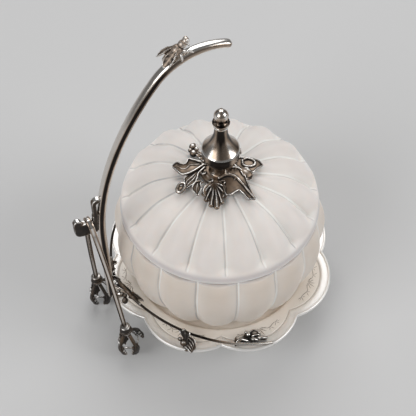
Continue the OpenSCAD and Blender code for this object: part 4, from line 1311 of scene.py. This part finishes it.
    def rear_leaves(self, shape):
        """Leaves on the far side, and the bud with two knobs."""
        for direction, length, width in ((36, 16.6, 9), (75, 19, 12)):
            shape.leaf(turn(direction) @ move(5, 0, 108.0) @ turn(5, "Y"), length, width, thick=1.1,
                       peak=0.55, rib=0.55, vein=0.3, cup=0.5, rim=0.5, notch=0.2, notches=5,
                       lift=(0.4, 1.1, -0.6))
        shape.leaf(turn(112) @ move(5, 0, 108.0) @ turn(4, "Y"), 16, 5.5, thick=1.1, rib=0.6,
                   lift=(0.4, 0.9, 0.1))
        for x, y, r in ((-7.2, 21.9, 2.0), (-8.7, 17.3, 2.1), (-6.0, 19.4, 1.4), (-9.4, 20.0, 1.3),
                        (-5.8, 23.0, 1.0)):
            shape.ball((x, y, 107.4), r)


class MakeFinial(bpy.types.Operator):
    """Turned knob of the lid: cup, bell, ring and ball"""
    bl_idname = "castor.finial"
    bl_label = "Finial"

    def turned(self, name, profile, slot, nodes, dark):
        """A turned piece; dark gives tarnish together with painted shade, painted reflections and painted
        highlights at a height.
        """
        shape = Shape().lathe(profile, 96)
        piece = make(name, shape, "lid", finish("polished_silver"), nodes, sharp=40)
        mark(piece.data, "dark", [dark(v.co.z / MM) + self.streak(v.co) for v in piece.data.vertices])

    def streak(self, place):
        """Painted reflection round the knob: dark and light streaks, four times round."""
        a = math.atan2(place.y, place.x)
        return 0.26 * math.cos(4 * a + 1.7) + 0.07 * math.sin(7 * a) + 0.06 * math.cos(13 * a + 1.0)

    def execute(self, context):
        cup = [(2.1, 108.12), (6.3, 108.12), (6.5, 108.4), (6.4, 108.9)]
        for k in range(1, 9):
            a = math.radians(90 * k / 8)
            cup.append((4.7 + 1.7 * (1 - math.sin(a)), 108.9 + 4.9 * (1 - math.cos(a))))
        cup += [(5.1, 114.1), (5.5, 114.7), (5.5, 115.3), (5.1, 115.9), (4.7, 116.2)]
        for k in range(1, 11):
            a = math.radians(90 * k / 10)
            cup.append((4.7 + 5.0 * math.sin(a), 116.4 + 4.9 * (1 - math.cos(a))))
        cup += [(10.05, 121.7), (10.3, 122.4), (10.2, 123.6), (10.0, 124.8), (9.95, 125.6), (9.7, 126.2),
                (9.2, 126.36), (2.0, 126.36)]
        # Cup: brown below; the band above is painted dark as reflection, with some tarnish.
        self.turned("knob_cup", cup, "oxidised_silver", ["finial_cup"],
                    lambda z: 0.55 + 0.38 * ease((z - 119.5) / 2))
        bell = [(2.0, 126.42), (9.9, 126.42), (10.25, 126.6), (10.4, 126.95), (10.25, 127.3)]
        for k in range(1, 25):
            share = k / 24
            bell.append((3.5 + 6.65 * (1 - share) ** 2.6, 127.4 + 16.4 * share))
        bell += [(3.9, 144.05), (4.05, 144.6), (3.95, 145.1), (3.6, 145.5), (1.6, 145.58)]
        # Bell: painted highlight on the crease. The skirt is brown, darkening up the neck with painted shade
        # and reflection and some tarnish.
        self.turned("knob_bell", bell, "oxidised_silver", ["finial_bell"],
                    lambda z: -0.4 if z < 127.35 else 0.48 + 0.45 * ease((z - 131) / 8) if z < 143.9 else 0.2)
        ring = [(1.6, 145.62), (3.4, 145.62), (4.0, 145.9), (4.5, 146.4), (4.7, 147.0), (4.6, 147.5),
                (4.2, 147.7), (3.7, 147.45), (3.1, 147.5), (2.7, 147.9), (2.6, 148.78), (1.6, 148.78)]
        # Ring: darker in its hollow top.
        self.turned("knob_ring", ring, "oxidised_silver", ["finial_ring"],
                    lambda z: 0.8 if z > 147.3 else 0.3)
        ball_r, ball_z = 3.85, 152.22
        ball = [(1.3, 148.82)]
        for k in range(21):
            a = math.radians(-62 + 151 * k / 20)
            ball.append((ball_r * math.cos(a), ball_z + ball_r * math.sin(a)))
        # Ball: painted light on top, painted shade towards the bottom.
        self.turned("knob_ball", ball, "silver_plate", ["finial_ball"],
                    lambda z: 0.85 - 0.6 * ease((z - 149.5) / 5))
        return {"FINISHED"}


class MakeTongs(bpy.types.Operator):
    """Spring strip, ferrules and claws of the tongs"""
    bl_idname = "castor.tongs"
    bl_label = "Tongs"

    def execute(self, context):
        sizes = context.scene.castor_sizes
        for side, word in ((FRONT, "front"), (REAR, "rear")):
            self.strip(sizes, side, word)
            self.ferrule(side, word)
            self.claw(sizes, side, word)
        return {"FINISHED"}

    def strip(self, sizes, side, word):
        """Half of the spring strip: its share of the bow and one arm."""
        wide, thick = mm(sizes.strip_wide) / 2, mm(sizes.strip_thick) / 2
        path = []
        for k in range(17):
            a = math.radians(78 * k / 16)
            path.append(HUNG @ Vector((0, side * BOW_R * math.sin(a), -BOW_DROP + BOW_R * math.cos(a))))
        arm = arm_frame(side)
        for k in range(1, 53):
            u = k / 52
            path.append(arm @ Vector((0, side * 2.6 * math.sin(math.pi * u ** 0.8), -1.2 - 72.6 * u)))
        count = len(path)
        pairs = [(thick * (1 - 0.22 * i / count), wide * (1 - 0.14 * i / count)) for i in range(count)]
        across = HUNG.to_3x3() @ Vector((1, 0, 0))
        steps = 24
        shape = Shape().sweep(path, pairs, side=across, steps=steps, square=3.0, round_ends=False)
        nodes = ["front_arm", "tong_bow"] if side == FRONT else ["rear_arm"]
        piece = make(f"tongs_strip_{word}", shape, None, finish("polished_silver"), nodes)
        dark = []
        for i in range(len(shape.points)):
            along = i / len(shape.points)
            d = math.sin(2 * math.pi * (i % steps) / steps)
            # Painted highlights: a line down the middle and one along an edge. The rest is painted dark as
            # reflection and shade, darker down the arm.
            lit = bump(d + 0.1, 0.30) + 0.8 * bump(d - 0.95, 0.2)
            dark.append(max(0, 1 - lit) * (0.55 + 0.45 * ease((along - 0.15) / 0.3)))
        mark(piece.data, "dark", dark)
        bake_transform(piece)

    def ferrule(self, side, word):
        """Turned ball with a collar between arm and claw."""
        profile = [(0.5, 3.3), (1.7, 3.25), (2.6, 3.0), (3.0, 2.6), (2.9, 2.1), (2.6, 1.8), (2.75, 1.3),
                   (3.0, 0.5), (2.9, -0.1), (3.1, -0.4), (3.5, -0.7), (3.7, -1.15), (3.5, -1.6), (3.1, -1.9),
                   (3.0, -2.2), (2.9, -2.5), (0.5, -2.55)]
        shape = Shape().join(Shape().lathe(profile, 48), at_ferrule(side))
        # Painted light on faces that look up.
        cast(f"tongs_ferrule_{word}", shape, f"{word}_arm", finish("black_silver"),
             [f"{word}_ferrule"], voxel=0.18, soften=2, rubbed=0.3)

    def claw(self, sizes, side, word):
        """Four openwork fingers with leaf-like toes; the first one flicks outwards."""
        reach = mm(sizes.claw_reach)
        shape = Shape()
        shape.lathe([(0.4, -2.58), (2.75, -2.58), (2.9, -3.2), (2.5, -4.0), (0.4, -4.3)], 32)
        for k in range(4):
            self.finger(shape, turn(16 + 90 * k), reach, 1.0 if k == 0 else 0.0)
        placed = Shape().join(shape, at_ferrule(side))
        # Painted light on faces that look up.
        cast(f"tongs_claw_{word}", placed, f"{word}_arm", finish("black_silver"),
             [f"{word}_claw"], voxel=0.22, soften=1, rubbed=0.12)

    def finger(self, shape, spin, reach, flick):
        """One finger with beaded edges, three ribs, a toe and the web to the next finger."""
        across = spin @ Vector((0, 1, 0))
        path, pairs = [], []
        for i in range(24):
            u = i / 23
            r = 1.0 + (reach - 2.2 + 1.6 * flick) * math.sin(math.pi / 2 * min(1, u / 0.66))
            r += (2.2 * flick - 1.0) * ease((u - 0.7) / 0.3)
            path.append(spin @ Vector((r, 0, -3.0 - (16.4 - 3.0 * flick) * u)))
            pairs.append((1.0 + 0.5 * ease((u - 0.4) / 0.4), 1.1 + 1.2 * ease((u - 0.5) / 0.3)))
        shape.sweep(path, pairs, side=across)
        root = path[-1]
        toe = [root]
        for x, z in ((0.4 * flick - 0.2, -1.6), (1.4 * flick - 0.6, -3.8)):
            toe.append(root + spin @ Vector((x, 0, z)))
        shape.sweep(smooth_path(toe, 6), [(1.1 - 0.075 * i, 1.9 - 0.14 * i) for i in range(13)], side=across)
        for i, wide in ((13, 1.3), (16, 1.9), (19, 2.2), (22, 2.1)):
            for s in (FRONT, REAR):
                shape.ball(path[i] + across * (s * wide) + spin @ Vector((-0.4, 0, -0.6)), (0.9, 0.9, 1.1))
        for shift in (-1.1, 0, 1.1):
            rib = []
            for i, q in enumerate(path):
                rib.append(q + spin @ Vector((0.8, shift * ease((i / 23 - 0.35) / 0.4), 0)))
            shape.sweep(rib[5:], [0.4] * 19)
        web = []
        span = reach - 1.8
        for i in range(15):
            a = math.radians(90 * i / 14)
            dip = math.sin(math.pi * i / 14)
            web.append(spin @ Vector((span * math.cos(a), span * math.sin(a), -13.6 + 2.2 * dip)))
        shape.sweep(web, [(0.5, 0.7)] * 15, side=UP)


class DressFixings(bpy.types.Operator):
    """Finishes for the rivets and for the stud, nut and washer of the knob"""
    bl_idname = "castor.fixings"
    bl_label = "Fixings"

    def execute(self, context):
        dress("handle_rivets", finish("polished_silver"))
        dress("finial_stud", finish("tray_silver"))
        dress("finial_nut", finish("tray_silver"))
        dress("cork_washer", finish("cork"))
        return {"FINISHED"}


class MakeStage(bpy.types.Operator):
    """Pale floor, soft boxes, world and camera"""
    bl_idname = "castor.stage"
    bl_label = "Stage"

    def lamp(self, name, place, target, side, watts):
        light = bpy.data.lights.new(name, "AREA")
        light.shape = "SQUARE"
        light.size = side
        light.energy = watts
        lamp = bpy.data.objects.new(name, light)
        lamp.location = place
        lamp.rotation_euler = (Vector(target) - Vector(place)).to_track_quat("-Z", "Y").to_euler()
        bpy.context.scene.collection.objects.link(lamp)

    def execute(self, context):
        scene = context.scene
        scene.view_settings.view_transform = "Standard"
        ground = bpy.data.meshes.new("floor")
        half = 8.0
        corners = [(-half, -half, 0), (half, -half, 0), (half, half, 0), (-half, half, 0)]
        ground.from_pydata(corners, [], [(0, 1, 2, 3)])
        ground.materials.append(finish("floor"))
        floor = bpy.data.objects.new("floor", ground)
        scene.collection.objects.link(floor)
        middle = (0, 0, 0.08)
        self.lamp("back_softbox", (0.30, 0.70, 1.02), middle, 0.9, 5.8)
        self.lamp("right_softbox", (1.0, -0.75, 0.85), middle, 0.8, 7.5)
        self.lamp("left_softbox", (-1.3, -0.40, 1.0), middle, 1.1, 11.4)
        world = bpy.data.worlds.new("studio")
        scene.world = world
        world.use_nodes = True
        tree = world.node_tree
        rays = tree.nodes.new("ShaderNodeLightPath")
        seen = rays.outputs["Is Camera Ray"]
        for kind in ("Is Glossy Ray", "Is Transmission Ray"):
            either = tree.nodes.new("ShaderNodeMath")
            either.operation = "MAXIMUM"
            tree.links.new(seen, either.inputs[0])
            tree.links.new(rays.outputs[kind], either.inputs[1])
            seen = either.outputs[0]
        tone = tree.nodes.new("ShaderNodeMix")
        tone.data_type = "RGBA"
        light_grey, seen_grey = 0.27, 0.17
        tone.inputs[6].default_value = colour([light_grey] * 3)
        tone.inputs[7].default_value = colour([seen_grey] * 3)
        tree.links.new(seen, tone.inputs[0])
        tree.links.new(tone.outputs[2], tree.nodes["Background"].inputs["Color"])
        lens = bpy.data.cameras.new("camera")
        lens.sensor_width = 36
        lens.lens = 81.19
        camera = bpy.data.objects.new("camera", lens)
        eye = (-0.1356, -0.2942, 0.5078)
        right, up, back = (0.91664, -0.39971, 0), (0.32048, 0.73494, 0.59763), (-0.23888, -0.54781, 0.80178)
        aim = Matrix((right, up, back)).transposed().to_4x4()
        camera.matrix_world = Matrix.Translation(eye) @ aim
        scene.collection.objects.link(camera)
        scene.camera = camera
        return {"FINISHED"}


class CastorPanel(bpy.types.Panel):
    """Makes the castor's pieces and holds their sizes and colours"""
    bl_idname = "CASTOR_PT_pieces"
    bl_label = "Pickle castor"
    bl_space_type = "VIEW_3D"
    bl_region_type = "UI"
    bl_category = "Castor"

    def draw(self, context):
        for made in OPERATORS:
            self.layout.operator(made.bl_idname)
        for group in (context.scene.castor_sizes, context.scene.castor_look):
            for name in group.__annotations__:
                self.layout.prop(group, name)


OPERATORS = (MakeStage, MakeTray, MakeFoot, MakeHandle, MakeFly, MakeHook, MakeRail, MakeBowl, MakeLid,
             MakeRosette, MakeFinial, MakeTongs, DressFixings)
GROUPS = (CastorSizes, CastorLook)


def register():
    for kind in GROUPS + OPERATORS + (CastorPanel,):
        bpy.utils.register_class(kind)
    bpy.types.Scene.castor_sizes = PointerProperty(type=CastorSizes)
    bpy.types.Scene.castor_look = PointerProperty(type=CastorLook)


def unregister():
    del bpy.types.Scene.castor_look
    del bpy.types.Scene.castor_sizes
    for kind in reversed(GROUPS + OPERATORS + (CastorPanel,)):
        bpy.utils.unregister_class(kind)


def main():
    register()
    for made in OPERATORS:
        group, name = made.bl_idname.split(".")
        getattr(getattr(bpy.ops, group), name)()


if __name__ == "__main__":
    main()
